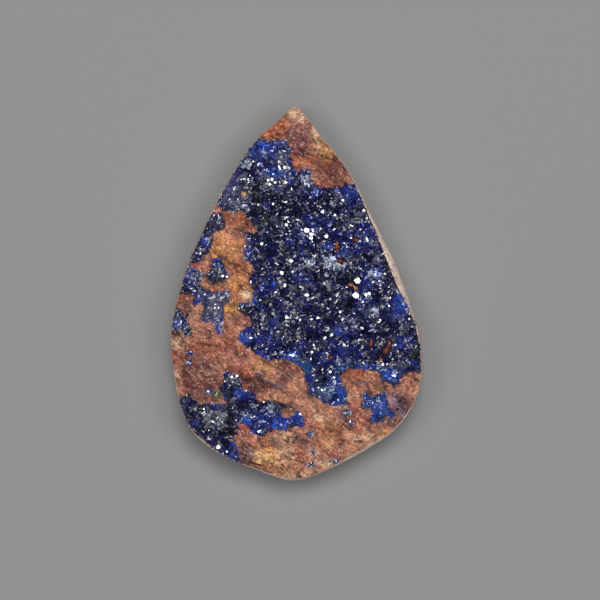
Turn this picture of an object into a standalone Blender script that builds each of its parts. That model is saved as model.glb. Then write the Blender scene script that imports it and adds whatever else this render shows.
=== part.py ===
"""An azurite specimen: a pear-shaped slab of rusty sandstone, sawn flat behind and ground round its edge, with
druses of azurite crystals grown on the natural face in front.

The slab lies on its flat back, with +Z up out of the crystals and +Y towards its point, and the origin is in the
middle of the back. Every size is in millimetres until a mesh is made, and MM turns it into metres. Outlines are
drawn on a plan, whose unit is a tenth of a millimetre, with x to the right and y down towards the slab's foot.
"""

import math

import bmesh
import bpy
import numpy as np
from mathutils import Vector
from mathutils.geometry import delaunay_2d_cdt

MM = 0.001

# Driving sizes, in millimetres
SLAB_LENGTH = 37.65
FACE_LEVEL = 4.9
FOOT_CHAMFER = 0.3
SEAT_GAP = 0.3
CRYSTAL_PITCH = 0.78
SMALL_CRYSTAL_PITCH = 0.56
CRYSTAL_RISE = 0.54
RIDGE_SHARE = 0.55
CRYSTAL_WANDER = 0.22
RIM_THICKNESS = 0.28
RIM_MARGIN = 0.12
LUMP_CLEARANCE = 0.8
ROCK_ROUGHNESS = 0.13
ROCK_SEED = 40

# The plan's own measures: the slab's ends and sides on it, and a point inside that sees its whole edge
PLAN_TOP, PLAN_FOOT = 105.5, 482.0
PLAN_LEFT, PLAN_RIGHT = 170.0, 422.5
PLAN_HEART = (297.0, 320.0)
PLAN_UNIT = SLAB_LENGTH / (PLAN_FOOT - PLAN_TOP)

# How finely the sandstone is meshed: the spots round its edge, the net's pitch on its face, and the levels of its
# wall's rings as shares of the face's level
FLANK_ROWS = 54
ROCK_PITCH = 0.86
ROCK_WANDER = 0.28
WALL_LEVELS = (0.75, 0.4, 0.1)
FLANK_STEPS = 24
TRACE_STEPS = 40

# The slab's widest outline, in plan units, as its two flanks from the point to the foot
RIGHT_FLANK = [
    (296, 105.5), (302, 111), (317, 130), (341.5, 160), (354.5, 180), (374.5, 220), (394.5, 260),
    (409.5, 300), (419, 330), (422.5, 362), (420.5, 388), (411.5, 410), (395, 431.5), (370, 449),
    (340, 465.5), (310, 479), (290, 482),
]
LEFT_FLANK = [
    (296, 105.5), (290, 108.5), (275, 123), (259, 137), (240, 162), (220, 195.5), (200, 235.5),
    (185, 272), (174, 311), (170, 340), (173.5, 375), (180, 407), (190, 429.5), (200, 441.5),
    (220, 455), (250, 468.5), (280, 479.5), (290, 482),
]

# How far the face's edge lies inside that outline, in millimetres, by the share of the way down each flank
RIGHT_BEVEL = [(0, 0.1), (0.2, 0.2), (0.3, 0.45), (0.38, 0.75), (0.43, 0.7), (0.49, 0.35), (0.6, 0.15),
               (0.72, 0.25), (0.85, 0.4), (1, 0.3)]
LEFT_BEVEL = [(0, 0.1), (0.6, 0.1), (0.74, 0.15), (0.8, 0.35), (0.86, 0.15), (1, 0.3)]

# Broad swells and hollows of the face: plan x and y, radii in plan units, rise in millimetres
SWELLS = [
    (330, 290, 62, 80, -0.5),
    (226, 250, 24, 58, 0.4),
    (262, 362, 48, 20, 0.35),
    (320, 440, 62, 28, 0.15),
    (322, 152, 30, 30, 0.15),
]

# Lumps and ledges of bare sandstone, in the same way
LUMPS = [
    (245, 295, 8, 8, 0.6),
    (238, 321, 12, 6, 0.45),
    (243, 222, 12, 8, 0.45),
    (232, 248, 9, 13, 0.4),
    (216, 247, 6, 10, 0.35),
    (236, 275, 8, 12, 0.4),
    (266, 455, 9, 7, 0.3),
    (284, 374, 16, 8, 0.3),
    (196, 378, 14, 14, 0.3),
    (330, 172, 16, 10, 0.25),
    (355, 378, 12, 7, 0.3),
    (392, 400, 8, 12, 0.25),
    (322, 425, 15, 9, 0.3),
]

# Each druse: its outline on the plan, its crystals' pitch, its crust's thickness, and its mounds as plan x and y,
# radius and rise
DRUSES = {
    "azurite_main_druse": (
        [
            (246, 139), (268, 140), (287, 141), (289, 150), (293, 158), (294, 168), (299, 172), (305, 168),
            (312, 171), (315, 184), (321, 189), (336, 188), (347, 183), (366, 186), (385, 214),
            (402, 250), (430, 310), (440, 375), (412, 373),
            (402, 374), (401, 384), (394, 387), (381, 379), (366, 372), (352, 370), (341, 376), (349, 389),
            (348, 401), (337, 408), (321, 400), (309, 395), (306, 384), (305, 373), (292, 365), (281, 359),
            (268, 361), (252, 352), (241, 342), (239, 331), (249, 327), (252, 322), (239, 314), (236, 303),
            (249, 302), (253, 296), (247, 286), (248, 275), (252, 268), (243, 257), (242, 247), (246, 240),
            (245, 232), (256, 231), (249, 220), (240, 213), (229, 214), (222, 205), (212, 190), (230, 160),
        ],
        CRYSTAL_PITCH,
        0.55,
        [(268, 163, 24, 0.55), (306, 181, 10, 0.35), (350, 196, 14, 0.25), (328, 262, 18, 0.45),
         (377, 272, 14, 0.35), (306, 300, 16, 0.4), (360, 322, 20, 0.35), (262, 335, 18, 0.3),
         (328, 388, 18, 0.55), (402, 340, 16, 0.35), (248, 251, 8, 0.35), (290, 235, 20, 0.2)],
    ),
    "azurite_left_rim_druse": (
        [
            (205, 209), (219, 211), (227, 217), (223, 222), (225, 229), (214, 235), (213, 249), (205, 258),
            (198, 264), (184, 262), (190, 236),
        ],
        SMALL_CRYSTAL_PITCH,
        0.4,
        [(212, 226, 10, 0.2), (203, 247, 9, 0.25)],
    ),
    "azurite_left_cluster": (
        [
            (215, 260), (223, 261), (227, 269), (233, 276), (226, 282), (216, 283), (208, 282), (210, 270),
        ],
        SMALL_CRYSTAL_PITCH,
        0.5,
        [(218, 271, 9, 0.5)],
    ),
    "azurite_left_wall_druse": (
        [
            (184, 267), (192, 266), (197, 273), (204, 272), (202, 280), (204, 287), (214, 290), (227, 289),
            (232, 297), (225, 304), (226, 317), (222, 327), (213, 320), (201, 320), (207, 307), (202, 300),
            (197, 308), (191, 304), (194, 296), (176, 293), (174, 283),
        ],
        SMALL_CRYSTAL_PITCH,
        0.35,
        [(190, 282, 10, 0.3), (217, 301, 12, 0.2)],
    ),
    "azurite_left_foot_druse": (
        [
            (164, 306), (178, 309), (189, 316), (193, 330), (191, 338), (180, 332), (162, 328),
        ],
        SMALL_CRYSTAL_PITCH,
        0.35,
        [(181, 321, 9, 0.3)],
    ),
    "azurite_lower_cluster": (
        [
            (180, 398), (188, 393), (198, 401), (213, 401), (222, 404), (229, 403), (221, 398), (224, 389),
            (222, 375), (232, 371), (240, 376), (244, 389), (257, 391), (266, 400), (269, 391), (273, 399),
            (287, 404), (281, 411), (285, 417), (297, 412), (306, 417), (304, 427), (287, 429), (270, 434),
            (252, 438), (252, 428), (238, 422), (238, 432), (229, 439), (240, 443), (241, 478), (200, 462),
            (182, 430), (172, 412),
        ],
        CRYSTAL_PITCH,
        0.5,
        [(212, 420, 22, 0.95), (232, 383, 10, 0.55), (273, 410, 13, 0.65), (300, 420, 7, 0.35),
         (226, 449, 12, 0.3), (252, 403, 9, 0.3)],
    ),
    "azurite_right_cluster": (
        [
            (364, 394), (375, 392), (389, 392), (391, 403), (400, 407), (397, 416), (384, 420), (375, 423),
            (369, 415), (362, 406),
        ],
        SMALL_CRYSTAL_PITCH,
        0.45,
        [(378, 404, 12, 0.45)],
    ),
}

# Small grains of their own on the sandstone: plan x and y, radii in plan units, rise in millimetres
GRAINS = {
    "azurite_grain_upper_left": (191, 353, 5, 3.5, 0.5),
    "azurite_grain_left": (189.5, 362.5, 3.5, 4.2, 0.5),
    "azurite_grain_by_cluster": (208, 391, 4.8, 4, 0.5),
    "azurite_grain_centre": (347, 413, 6, 4.5, 0.45),
    "azurite_grain_lower_centre": (351, 424, 4, 4.5, 0.4),
    "azurite_grain_foot": (310, 434, 5, 4, 0.4),
    "azurite_grain_foot_small": (313, 451, 3, 3.5, 0.35),
    "azurite_grain_foot_edge": (311, 464, 4.5, 3.5, 0.35),
    "azurite_grain_foot_right": (335, 461, 4.5, 3, 0.35),
    "malachite_grain": (216.5, 394.5, 2.6, 2.8, 0.4),
}
GRAIN_SIDES = 7
GRAIN_SINK_ROUND = 0.7

# Colour as linear red, green and blue, roughness, and metallic
FINISHES = {
    "rusty_sandstone": ((0.32, 0.14, 0.075), 0.85, 0.0),
    "azurite": ((0.012, 0.025, 0.17), 0.22, 0.0),
    "malachite": ((0.01, 0.16, 0.07), 0.35, 0.0),
}


def clear_scene():
    """Removes whatever the scene holds."""
    for thing in list(bpy.data.objects):
        bpy.data.objects.remove(thing)


def finish(name):
    """Returns the named finish as a material, made once."""
    found = bpy.data.materials.get(name)
    if found:
        return found
    colour, roughness, metallic = FINISHES[name]
    made = bpy.data.materials.new(name)
    made.use_nodes = True
    shader = made.node_tree.nodes["Principled BSDF"]
    shader.inputs["Base Color"].default_value = (*colour, 1.0)
    shader.inputs["Roughness"].default_value = roughness
    shader.inputs["Metallic"].default_value = metallic
    return made


def add_object(name, shape, finish_name):
    """Puts a finished bmesh, in millimetres, into the scene in metres."""
    bmesh.ops.recalc_face_normals(shape, faces=shape.faces)
    bmesh.ops.scale(shape, vec=Vector((MM, MM, MM)), verts=shape.verts)
    mesh = bpy.data.meshes.new(name)
    shape.to_mesh(mesh)
    shape.free()
    mesh.materials.append(finish(finish_name))
    made = bpy.data.objects.new(name, mesh)
    bpy.context.scene.collection.objects.link(made)
    return made


def from_plan(points):
    """Turns plan points into millimetres about the middle of the slab's back."""
    points = np.asarray(points, float)
    x = (points[..., 0] - (PLAN_LEFT + PLAN_RIGHT) / 2) * PLAN_UNIT
    y = ((PLAN_TOP + PLAN_FOOT) / 2 - points[..., 1]) * PLAN_UNIT
    return np.stack([x, y], axis=-1)


def smooth_line(points, steps):
    """A Catmull-Rom curve through the points, with this many steps to each span."""
    ends = np.vstack([2 * points[0] - points[1], points, 2 * points[-1] - points[-2]])
    share = np.linspace(0, 1, steps, endpoint=False)[:, None]
    spans = []
    for a, b, c, d in zip(ends[:-3], ends[1:-2], ends[2:-1], ends[3:]):
        spans.append(
            0.5 * (2 * b + (c - a) * share + (2 * a - 5 * b + 4 * c - d) * share**2
                   + (3 * b - a - 3 * c + d) * share**3)
        )
    return np.vstack([*spans, points[-1:]])


def along(line, shares):
    """The points at these shares of a line's length."""
    lengths = np.concatenate([[0], np.cumsum(np.linalg.norm(np.diff(line, axis=0), axis=1))])
    places = np.asarray(shares) * lengths[-1]
    return np.column_stack([np.interp(places, lengths, line[:, k]) for k in (0, 1)])


def flank_points(flank, bevel, shares, inset=1.0):
    """Points down one flank, moved towards the slab's heart by this share of the face's bevel."""
    points = along(smooth_line(from_plan(flank), FLANK_STEPS), shares)
    inward = from_plan(PLAN_HEART) - points
    inward /= np.linalg.norm(inward, axis=1)[:, None]
    depth = np.interp(shares, *zip(*bevel)) * inset
    return points + inward * depth[:, None]


def slab_loop(inset):
    """The slab's edge as one closed loop of points: down the right flank from the point, and up the left."""
    shares = np.linspace(0, 1, FLANK_ROWS + 1)
    right = flank_points(RIGHT_FLANK, RIGHT_BEVEL, shares, inset)
    left = flank_points(LEFT_FLANK, LEFT_BEVEL, shares, inset)
    return np.vstack([right, left[-2:0:-1]])


def kept_on_face(points, margin=RIM_MARGIN):
    """Draws points that lie past the face's edge back to just inside it, straight towards the heart."""
    heart = from_plan(PLAN_HEART)
    edge = slab_loop(1.0) - heart
    bearing = np.arctan2(edge[:, 1], edge[:, 0])
    order = np.argsort(bearing)
    reach = np.linalg.norm(edge, axis=1)[order]
    offset = points - heart
    limit = np.interp(
        np.arctan2(offset[:, 1], offset[:, 0]), bearing[order], reach, period=2 * math.pi
    ) - margin
    distance = np.maximum(np.linalg.norm(offset, axis=1), 1e-9)
    return heart + offset * np.minimum(1, limit / distance)[:, None]


def druse_loop(outline, pitch):
    """A druse's outline as a closed loop of evenly spaced points, kept on the face."""
    corners = from_plan(outline)
    traced = along(np.vstack([corners, corners[:1]]), np.linspace(0, 1, len(corners) * TRACE_STEPS))
    traced = kept_on_face(traced)
    length = np.linalg.norm(np.diff(traced, axis=0), axis=1).sum()
    count = round(length / pitch)
    return along(traced, np.arange(count) / count)


def edge_distance(points, loop):
    """How far points lie outside a closed loop, as a negative number inside it."""
    starts, ends = loop, np.roll(loop, -1, axis=0)
    sides = ends - starts
    offsets = points[:, None] - starts[None]
    share = np.clip((offsets * sides).sum(2) / (sides**2).sum(1), 0, 1)
    distance = np.linalg.norm(offsets - share[..., None] * sides, axis=2).min(1)
    above = starts[:, 1] > points[:, None, 1]
    crossed = above != (ends[:, 1] > points[:, None, 1])
    rise = np.where(sides[:, 1] == 0, 1e-12, sides[:, 1])
    meets = starts[:, 0] + (points[:, None, 1] - starts[:, 1]) * sides[:, 0] / rise
    inside = (crossed & (points[:, None, 0] < meets)).sum(1) % 2 == 1
    return np.where(inside, -distance, distance)


def bumps(points, table):
    """The summed heights of rounded bumps, each a bell over its own ellipse."""
    height = np.zeros(len(points))
    for x, y, radius_x, radius_y, rise in table:
        offset = (points - from_plan((x, y))) / (np.array([radius_x, radius_y]) * PLAN_UNIT)
        height += rise * np.exp(-(offset**2).sum(1))
    return height


def seat_height(points):
    """The sandstone's level under the druses: the face with its broad swells only."""
    return FACE_LEVEL + bumps(points, SWELLS)


def face_height(points, druse_loops, random):
    """The sandstone's top: its seat, with lumps and a broken surface wherever no druse is near."""
    clear = np.full(len(points), np.inf)
    for loop in druse_loops:
        clear = np.minimum(clear, edge_distance(points, loop))
    share = np.clip(clear / LUMP_CLEARANCE - 0.25, 0, 1)
    broken = random.uniform(-ROCK_ROUGHNESS, ROCK_ROUGHNESS, len(points))
    return seat_height(points) + (bumps(points, LUMPS) + broken) * share


def net_points(loop, pitch, wander, clearance, random):
    """A hexagonal net inside a loop, each point moved a little at random and kept this share of the pitch inside."""
    low, high = loop.min(0), loop.max(0)
    places = []
    for row, y in enumerate(np.arange(low[1], high[1], pitch * math.sqrt(3) / 2)):
        start = low[0] + (row % 2) * pitch / 2
        places += [(x, y) for x in np.arange(start, high[0], pitch)]
    places = np.array(places) + random.uniform(-wander, wander, (len(places), 2)) * pitch
    return places[edge_distance(places, loop) < -clearance * pitch]


def closed_lines(count):
    """The numbered sides of a closed loop."""
    return [(k, (k + 1) % count) for k in range(count)]


def triangulated(loop, inner=(), ridges=()):
    """Delaunay triangles inside a loop through these inner points that keep the loop and the ridges.

    The loop's points come first and the inner ones after them, and the triangles number them in that order.
    """
    points = [Vector(p) for p in [*loop, *inner]]
    found = delaunay_2d_cdt(points, closed_lines(len(loop)) + list(ridges), [], 1, 1e-6)
    old_number = [sources[0] for sources in found[3]]
    return [[old_number[k] for k in triangle] for triangle in found[2]]


def join_rings(shape, upper, lower):
    """A wall of faces between two rings of as many points."""
    for k, after in closed_lines(len(upper)):
        shape.faces.new((upper[k], lower[k], lower[after], upper[after]))


def build_slab(druse_loops):
    """The sandstone: a broken face, a ground wall round it, and a sawn flat back."""
    random = np.random.default_rng(ROCK_SEED)
    rim = slab_loop(1.0)
    net = net_points(rim, ROCK_PITCH, ROCK_WANDER, 0.6, random)
    heights = face_height(np.vstack([rim, net]), druse_loops, random)

    shape = bmesh.new()
    top = [shape.verts.new((*place, z)) for place, z in zip([*rim, *net], heights)]
    for triangle in triangulated(rim, net):
        shape.faces.new([top[k] for k in triangle])
    upper = top[:len(rim)]
    for level in WALL_LEVELS:
        ring = [shape.verts.new((*place, FACE_LEVEL * level)) for place in slab_loop(level)]
        join_rings(shape, upper, ring)
        upper = ring
    foot = slab_loop(0)
    inward = from_plan(PLAN_HEART) - foot
    foot = foot + inward / np.linalg.norm(inward, axis=1)[:, None] * FOOT_CHAMFER
    back = [shape.verts.new((*place, 0.0)) for place in foot]
    join_rings(shape, upper, back)
    for triangle in triangulated(foot):
        shape.faces.new([back[k] for k in triangle])
    return add_object("sandstone_matrix", shape, "rusty_sandstone")


def valley_points(loop, middles, pitch):
    """The lowest points between crystals: the middles of the triangles that their own middles make."""
    corners = np.vstack([loop, middles])
    valleys = np.array([corners[triangle].mean(0) for triangle in triangulated(loop, middles)])
    return valleys[edge_distance(valleys, loop) < -0.3 * pitch]


def crust_levels(loop, points, pitch, thickness, mounds):
    """The height of a crust's body over its seat: thin at its edge, then its thickness and its mounds."""
    bells = [(x, y, radius, radius, rise) for x, y, radius, rise in mounds]
    share = np.clip(-edge_distance(points, loop) / pitch, 0, 1)
    body = RIM_THICKNESS + (thickness - RIM_THICKNESS + bumps(points, bells)) * share
    return seat_height(points) + SEAT_GAP + body


def build_druse(name, loop, pitch, thickness, mounds, seed):
    """A druse: wedge-topped crystals with flat faces over one crust, with a wall and a floor."""
    random = np.random.default_rng(seed)
    middles = net_points(loop, pitch, CRYSTAL_WANDER, 0.55, random)
    turn = random.uniform(0, math.pi, len(middles))
    half_ridge = np.column_stack([np.cos(turn), np.sin(turn)]) * pitch * RIDGE_SHARE / 2
    ridge_ends = np.vstack([middles - half_ridge, middles + half_ridge])
    valleys = valley_points(loop, middles, pitch)
    first, count = len(loop), len(middles)
    ridges = [(first + k, first + count + k) for k in range(count)]

    places = np.vstack([loop, ridge_ends, valleys])
    levels = crust_levels(loop, places, pitch, thickness, mounds)
    levels[first:first + 2 * count] += CRYSTAL_RISE * pitch * random.uniform(0.45, 1, 2 * count)
    shape = bmesh.new()
    top = [shape.verts.new((*place, z)) for place, z in zip(places, levels)]
    for triangle in triangulated(loop, places[first:], ridges):
        shape.faces.new([top[k] for k in triangle])

    net = net_points(loop, 2 * pitch, 0, 0.3, random)
    floor_places = np.vstack([loop, net])
    levels = seat_height(floor_places) + SEAT_GAP
    floor = [shape.verts.new((*place, z)) for place, z in zip(floor_places, levels)]
    for triangle in triangulated(loop, net):
        shape.faces.new([floor[k] for k in triangle])
    join_rings(shape, top[:first], floor[:first])
    return add_object(name, shape, "azurite")


def build_grain(name, x, y, radius_x, radius_y, rise, seed):
    """A small grain: an uneven many-sided stub with a wedge on top."""
    random = np.random.default_rng(seed)
    middle = from_plan((x, y))
    radii = np.array([radius_x, radius_y]) * PLAN_UNIT
    bearings = (np.arange(GRAIN_SIDES) + random.uniform(-0.25, 0.25, GRAIN_SIDES)) * 2 * math.pi / GRAIN_SIDES
    unit = np.column_stack([np.cos(bearings), np.sin(bearings)])
    foot = middle + unit * radii
    shoulder = middle + unit * radii * GRAIN_SINK_ROUND
    turn = random.uniform(0, math.pi)
    ridge = np.array([math.cos(turn), math.sin(turn)]) * radii * 0.35
    seat = seat_height(middle[None])[0] + bumps(middle[None], LUMPS)[0] + SEAT_GAP

    shape = bmesh.new()
    lower = [shape.verts.new((*p, seat)) for p in foot]
    upper = [shape.verts.new((*p, seat + rise * random.uniform(0.5, 0.7))) for p in shoulder]
    peaks = [shape.verts.new((*(middle + side * ridge), seat + rise)) for side in (-1, 1)]
    nearest = [int((p - middle) @ ridge > 0) for p in shoulder]
    for k in range(GRAIN_SIDES):
        after = (k + 1) % GRAIN_SIDES
        shape.faces.new((lower[k], lower[after], upper[after], upper[k]))
        near, far = peaks[nearest[k]], peaks[nearest[after]]
        shape.faces.new((upper[k], upper[after], near))
        if near is not far:
            shape.faces.new((upper[after], far, near))
    shape.faces.new(lower)
    return add_object(name, shape, "malachite" if name.startswith("malachite") else "azurite")


def build_specimen():
    """Builds the slab and everything grown on it."""
    clear_scene()
    loops = [druse_loop(outline, pitch) for outline, pitch, _, _ in DRUSES.values()]
    build_slab(loops)
    for seed, (name, loop) in enumerate(zip(DRUSES, loops), start=1):
        build_druse(name, loop, *DRUSES[name][1:], seed)
    for seed, (name, sizes) in enumerate(GRAINS.items(), start=len(DRUSES) + 1):
        build_grain(name, *sizes, seed)


build_specimen()
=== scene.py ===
"""Dresses a pear-shaped slab of rusty sandstone with druses of azurite crystals, lying on a plain pale table.

Outlines and spots are drawn on a flat plan, whose unit is about a tenth of a millimetre, with x to the right
and y down towards the slab's foot. Meshes are worked out in millimetres about the middle of the slab's back,
and are put into the scene in metres.
"""

import functools
import logging
import math
from dataclasses import dataclass
from enum import Enum

import bpy
import numpy as np
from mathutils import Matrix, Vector
from numpy.typing import ArrayLike


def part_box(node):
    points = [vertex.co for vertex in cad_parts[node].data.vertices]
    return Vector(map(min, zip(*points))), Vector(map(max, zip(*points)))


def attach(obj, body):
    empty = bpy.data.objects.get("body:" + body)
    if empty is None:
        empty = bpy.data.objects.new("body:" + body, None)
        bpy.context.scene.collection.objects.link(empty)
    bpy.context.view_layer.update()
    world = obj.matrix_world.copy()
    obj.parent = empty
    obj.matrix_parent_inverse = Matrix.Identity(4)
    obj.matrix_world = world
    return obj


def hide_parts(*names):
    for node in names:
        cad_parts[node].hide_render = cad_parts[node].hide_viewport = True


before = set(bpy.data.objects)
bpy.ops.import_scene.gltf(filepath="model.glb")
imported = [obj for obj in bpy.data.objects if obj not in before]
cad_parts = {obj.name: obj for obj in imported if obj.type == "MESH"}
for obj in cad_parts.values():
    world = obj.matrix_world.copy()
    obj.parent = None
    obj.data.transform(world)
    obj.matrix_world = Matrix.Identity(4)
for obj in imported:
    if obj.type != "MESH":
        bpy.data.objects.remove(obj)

Points = np.ndarray
Spot = tuple[float, float, float, float, float]
Socket = bpy.types.NodeSocket

LOG = logging.getLogger("azurite")
MM = 0.001
TABLE_SIZE = 4.0

# The plan's limits and its unit in millimetres.
PLAN_TOP, PLAN_FOOT = 105.5, 482.0
PLAN_LEFT, PLAN_RIGHT = 170.0, 422.5
PLAN_HEART = (297.0, 320.0)
BACK_LOW, BACK_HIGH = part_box("sandstone_matrix")
PLAN_UNIT = (BACK_HIGH[1] - BACK_LOW[1]) / MM / (PLAN_FOOT - PLAN_TOP)

# In millimetres: the face's level and the gap over it to a druse, how far a grain levels the stone about it
# and goes down into it, how far druses keep from the face's edge, where beds are levelled off, and the top.
FACE_LEVEL, SEAT_GAP = 4.9, 0.3
SEAT_REACH, GRAIN_SINK = 0.8, 0.05
RIM_MARGIN = 0.05
LID_LEVEL, LID_SPARE = 6.2, 0.3
TOP_LEVEL = 7.1

# Rows of the quick edge, the power of the wall's curve, and the bedding's bearing.
EDGE_ROWS = 50
WALL_CURVE = 2.5
BEDDING = math.radians(-32)

# Noise and clumps repeat after this many cells, and their cells are counted from far below zero.
NOISE_CELLS, CLUMP_CELLS, CELL_START = 97, 89, 500
CLUMP_WANDER, CLUMP_REACH = 0.8, 0.8

# A crystal's sides, its corners, and how far its root goes down as a share of its height.
SIDES, CORNERS, ROOT_DEPTH = 6, 12, 0.35

# The glinting crystals: the way to half between the main lamp and the eye, how far each may sway from it, its
# rise over the bed, its width and height as shares of its length, and its table's share of its sides.
GLINT_AXIS = np.array([0.015, 0.147, 0.989])
GLINT_SWAY, GLINT_RISE = 0.03, 0.42
GLINT_SHAPE, GLINT_TABLE = (1, 0.78, 0.4), 0.86

# The slab's flanks on the plan, from point to foot, and the bevel's width by the share of the way down.
RIGHT_FLANK = [
    (296, 105.5), (302, 111), (317, 130), (341.5, 160), (354.5, 180), (374.5, 220), (394.5, 260),
    (409.5, 300), (419, 330), (422.5, 362), (420.5, 388), (411.5, 410), (395, 431.5), (370, 449),
    (340, 465.5), (310, 479), (290, 482),
]
LEFT_FLANK = [
    (296, 105.5), (290, 108.5), (275, 123), (259, 137), (240, 162), (220, 195.5), (200, 235.5), (185, 272),
    (174, 311), (170, 340), (173.5, 375), (180, 407), (190, 429.5), (200, 441.5), (220, 455), (250, 468.5),
    (280, 479.5), (290, 482),
]
RIGHT_BEVEL = [
    (0, 0.1), (0.2, 0.2), (0.3, 0.45), (0.38, 0.75), (0.43, 0.7), (0.49, 0.35), (0.6, 0.15), (0.72, 0.25),
    (0.85, 0.4), (1, 0.3),
]
LEFT_BEVEL = [(0, 0.1), (0.6, 0.1), (0.74, 0.15), (0.8, 0.35), (0.86, 0.15), (1, 0.3)]

# Broad swells and lumps of the stone: plan x and y, radii, and rise in millimetres.
SWELLS = [
    (330, 290, 62, 80, -0.5), (226, 250, 24, 58, 0.4), (262, 362, 48, 20, 0.35), (320, 440, 62, 28, 0.15),
    (322, 152, 30, 30, 0.15),
]
LUMPS = [
    (245.5, 295, 6, 6.4, 0.5), (238, 321, 12, 6, 0.45), (243, 222, 12, 8, 0.45), (232, 248, 9, 13, 0.4),
    (216, 247, 6, 10, 0.35), (236, 275, 8, 12, 0.4), (266, 455, 9, 7, 0.3), (284, 374, 16, 8, 0.3),
    (196, 378, 14, 14, 0.3), (330, 172, 16, 10, 0.25), (355, 378, 12, 7, 0.3), (392, 400, 8, 12, 0.25),
    (322, 425, 15, 9, 0.3),
]


class Tint(Enum):
    """Stone and crystal colours, as the eye sees them from 0 to 255."""

    PALE_TAN = (216, 178, 144)
    RUST_ORANGE = (188, 98, 42)
    PURPLE_BROWN = (112, 76, 78)
    GOLD = (226, 164, 86)
    ORANGE = (196, 110, 62)
    RED_BROWN = (142, 70, 48)
    ROSE_TAN = (180, 120, 104)
    BRICK = (150, 74, 58)
    RED_RUST = (150, 64, 44)
    OCHRE = (188, 128, 76)
    BROWN = (160, 92, 58)
    PEBBLE_GOLD = (255, 226, 178)
    DARK_RED = (80, 26, 28)
    LIGHT_BROWN = (178, 122, 94)
    UMBER = (96, 60, 48)
    CREAM = (226, 198, 168)
    PINK_CREAM = (244, 222, 206)
    SLATE = (112, 106, 132)
    SLATE_BLUE = (84, 92, 140)
    NAVY = (18, 20, 62)
    INDIGO = (32, 36, 120)
    COBALT = (44, 80, 178)
    AZURE = (60, 130, 216)
    OLIVE_GREY = (70, 76, 60)
    STEEL = (106, 108, 116)
    VIOLET_GREY = (106, 102, 136)
    SILVER_BLUE = (140, 148, 166)
    MALACHITE = (40, 180, 104)
    TABLE_GREY = (130, 130, 130)

    @property
    def linear(self) -> np.ndarray:
        """The colour as linear red, green and blue from 0 to 1."""
        share = np.array(self.value) / 255
        return np.where(share <= 0.04045, share / 12.92, ((share + 0.055) / 1.055) ** 2.4)


def from_plan(points: ArrayLike) -> Points:
    """Turns plan points into millimetres about the middle of the slab's back, x right and y to its point."""
    middle = np.array([PLAN_LEFT + PLAN_RIGHT, PLAN_TOP + PLAN_FOOT]) / 2
    return (np.asarray(points, float) - middle) * [PLAN_UNIT, -PLAN_UNIT]


def smooth_line(points: Points, steps: int = 24) -> Points:
    """A smooth curve: a span is the cubic through its ends whose slopes are half its neighbours' chord.

    Args:
        points: The points that the curve passes through.
        steps: Steps to each span.

    Returns:
        The curve's points.
    """
    ends = np.vstack([2 * points[0] - points[1], points, 2 * points[-1] - points[-2]])
    share = np.linspace(0, 1, steps, endpoint=False)[None, :, None]
    a, b, c, d = (ends[k:len(ends) - 3 + k][:, None] for k in range(4))
    spans = 0.5 * (2 * b + (c - a) * share + (2 * a - 5 * b + 4 * c - d) * share**2
                   + (3 * b - a - 3 * c + d) * share**3)
    return np.vstack([spans.reshape(-1, 2), points[-1:]])


def along(line: Points, shares: Points) -> Points:
    """The points at these shares of a line's length, straight between its own points.

    Args:
        line: The line's points.
        shares: Shares of its length, from 0 to 1.

    Returns:
        A point for each share.
    """
    lengths = np.concatenate([[0], np.cumsum(np.linalg.norm(np.diff(line, axis=0), axis=1))])
    places = np.asarray(shares) * lengths[-1]
    return np.column_stack([np.interp(places, lengths, line[:, k]) for k in (0, 1)])


def to_heart(points: Points) -> Points:
    """The way from each point to the slab's heart, one millimetre long."""
    inward = from_plan(PLAN_HEART) - points
    return inward / np.linalg.norm(inward, axis=1)[:, None]


def edge_distance(points: Points, loop: Points) -> np.ndarray:
    """How far points lie outside a closed loop: the distance to its nearest side, negative inside it.

    Args:
        points: Points to measure.
        loop: The loop's corners in order.

    Returns:
        A distance for each point.
    """
    nearest = np.full(len(points), np.inf)
    inside = np.zeros(len(points), bool)
    for start, end in zip(loop, np.roll(loop, -1, axis=0)):
        side = end - start
        offset = points - start
        share = np.clip(offset @ side / max(side @ side, 1e-12), 0, 1)
        nearest = np.minimum(nearest, np.linalg.norm(offset - share[:, None] * side, axis=1))
        crossed = (start[1] > points[:, 1]) != (end[1] > points[:, 1])
        rise = side[1] if side[1] else 1e-12
        inside ^= crossed & (points[:, 0] < start[0] + offset[:, 1] * side[0] / rise)
    return np.where(inside, -nearest, nearest)


def bumps(points: Points, table: list[Spot]) -> np.ndarray:
    """The sum of rounded bumps: each is its rise times e to minus the squared distance in radii.

    Args:
        points: Points in millimetres.
        table: Plan x and y, radii in plan units, and rise, of each bump.

    Returns:
        The summed rise at each point.
    """
    height = np.zeros(len(points))
    for x, y, radius_x, radius_y, rise in table:
        offset = (points - from_plan((x, y))) / (np.array([radius_x, radius_y]) * PLAN_UNIT)
        height += rise * np.exp(-(offset**2).sum(1))
    return height


def cover(points: Points, table: list[Spot]) -> np.ndarray:
    """How far the points lie in a table's soft spots, from 0 to 1."""
    return np.clip(bumps(points, table), 0, 1)


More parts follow.
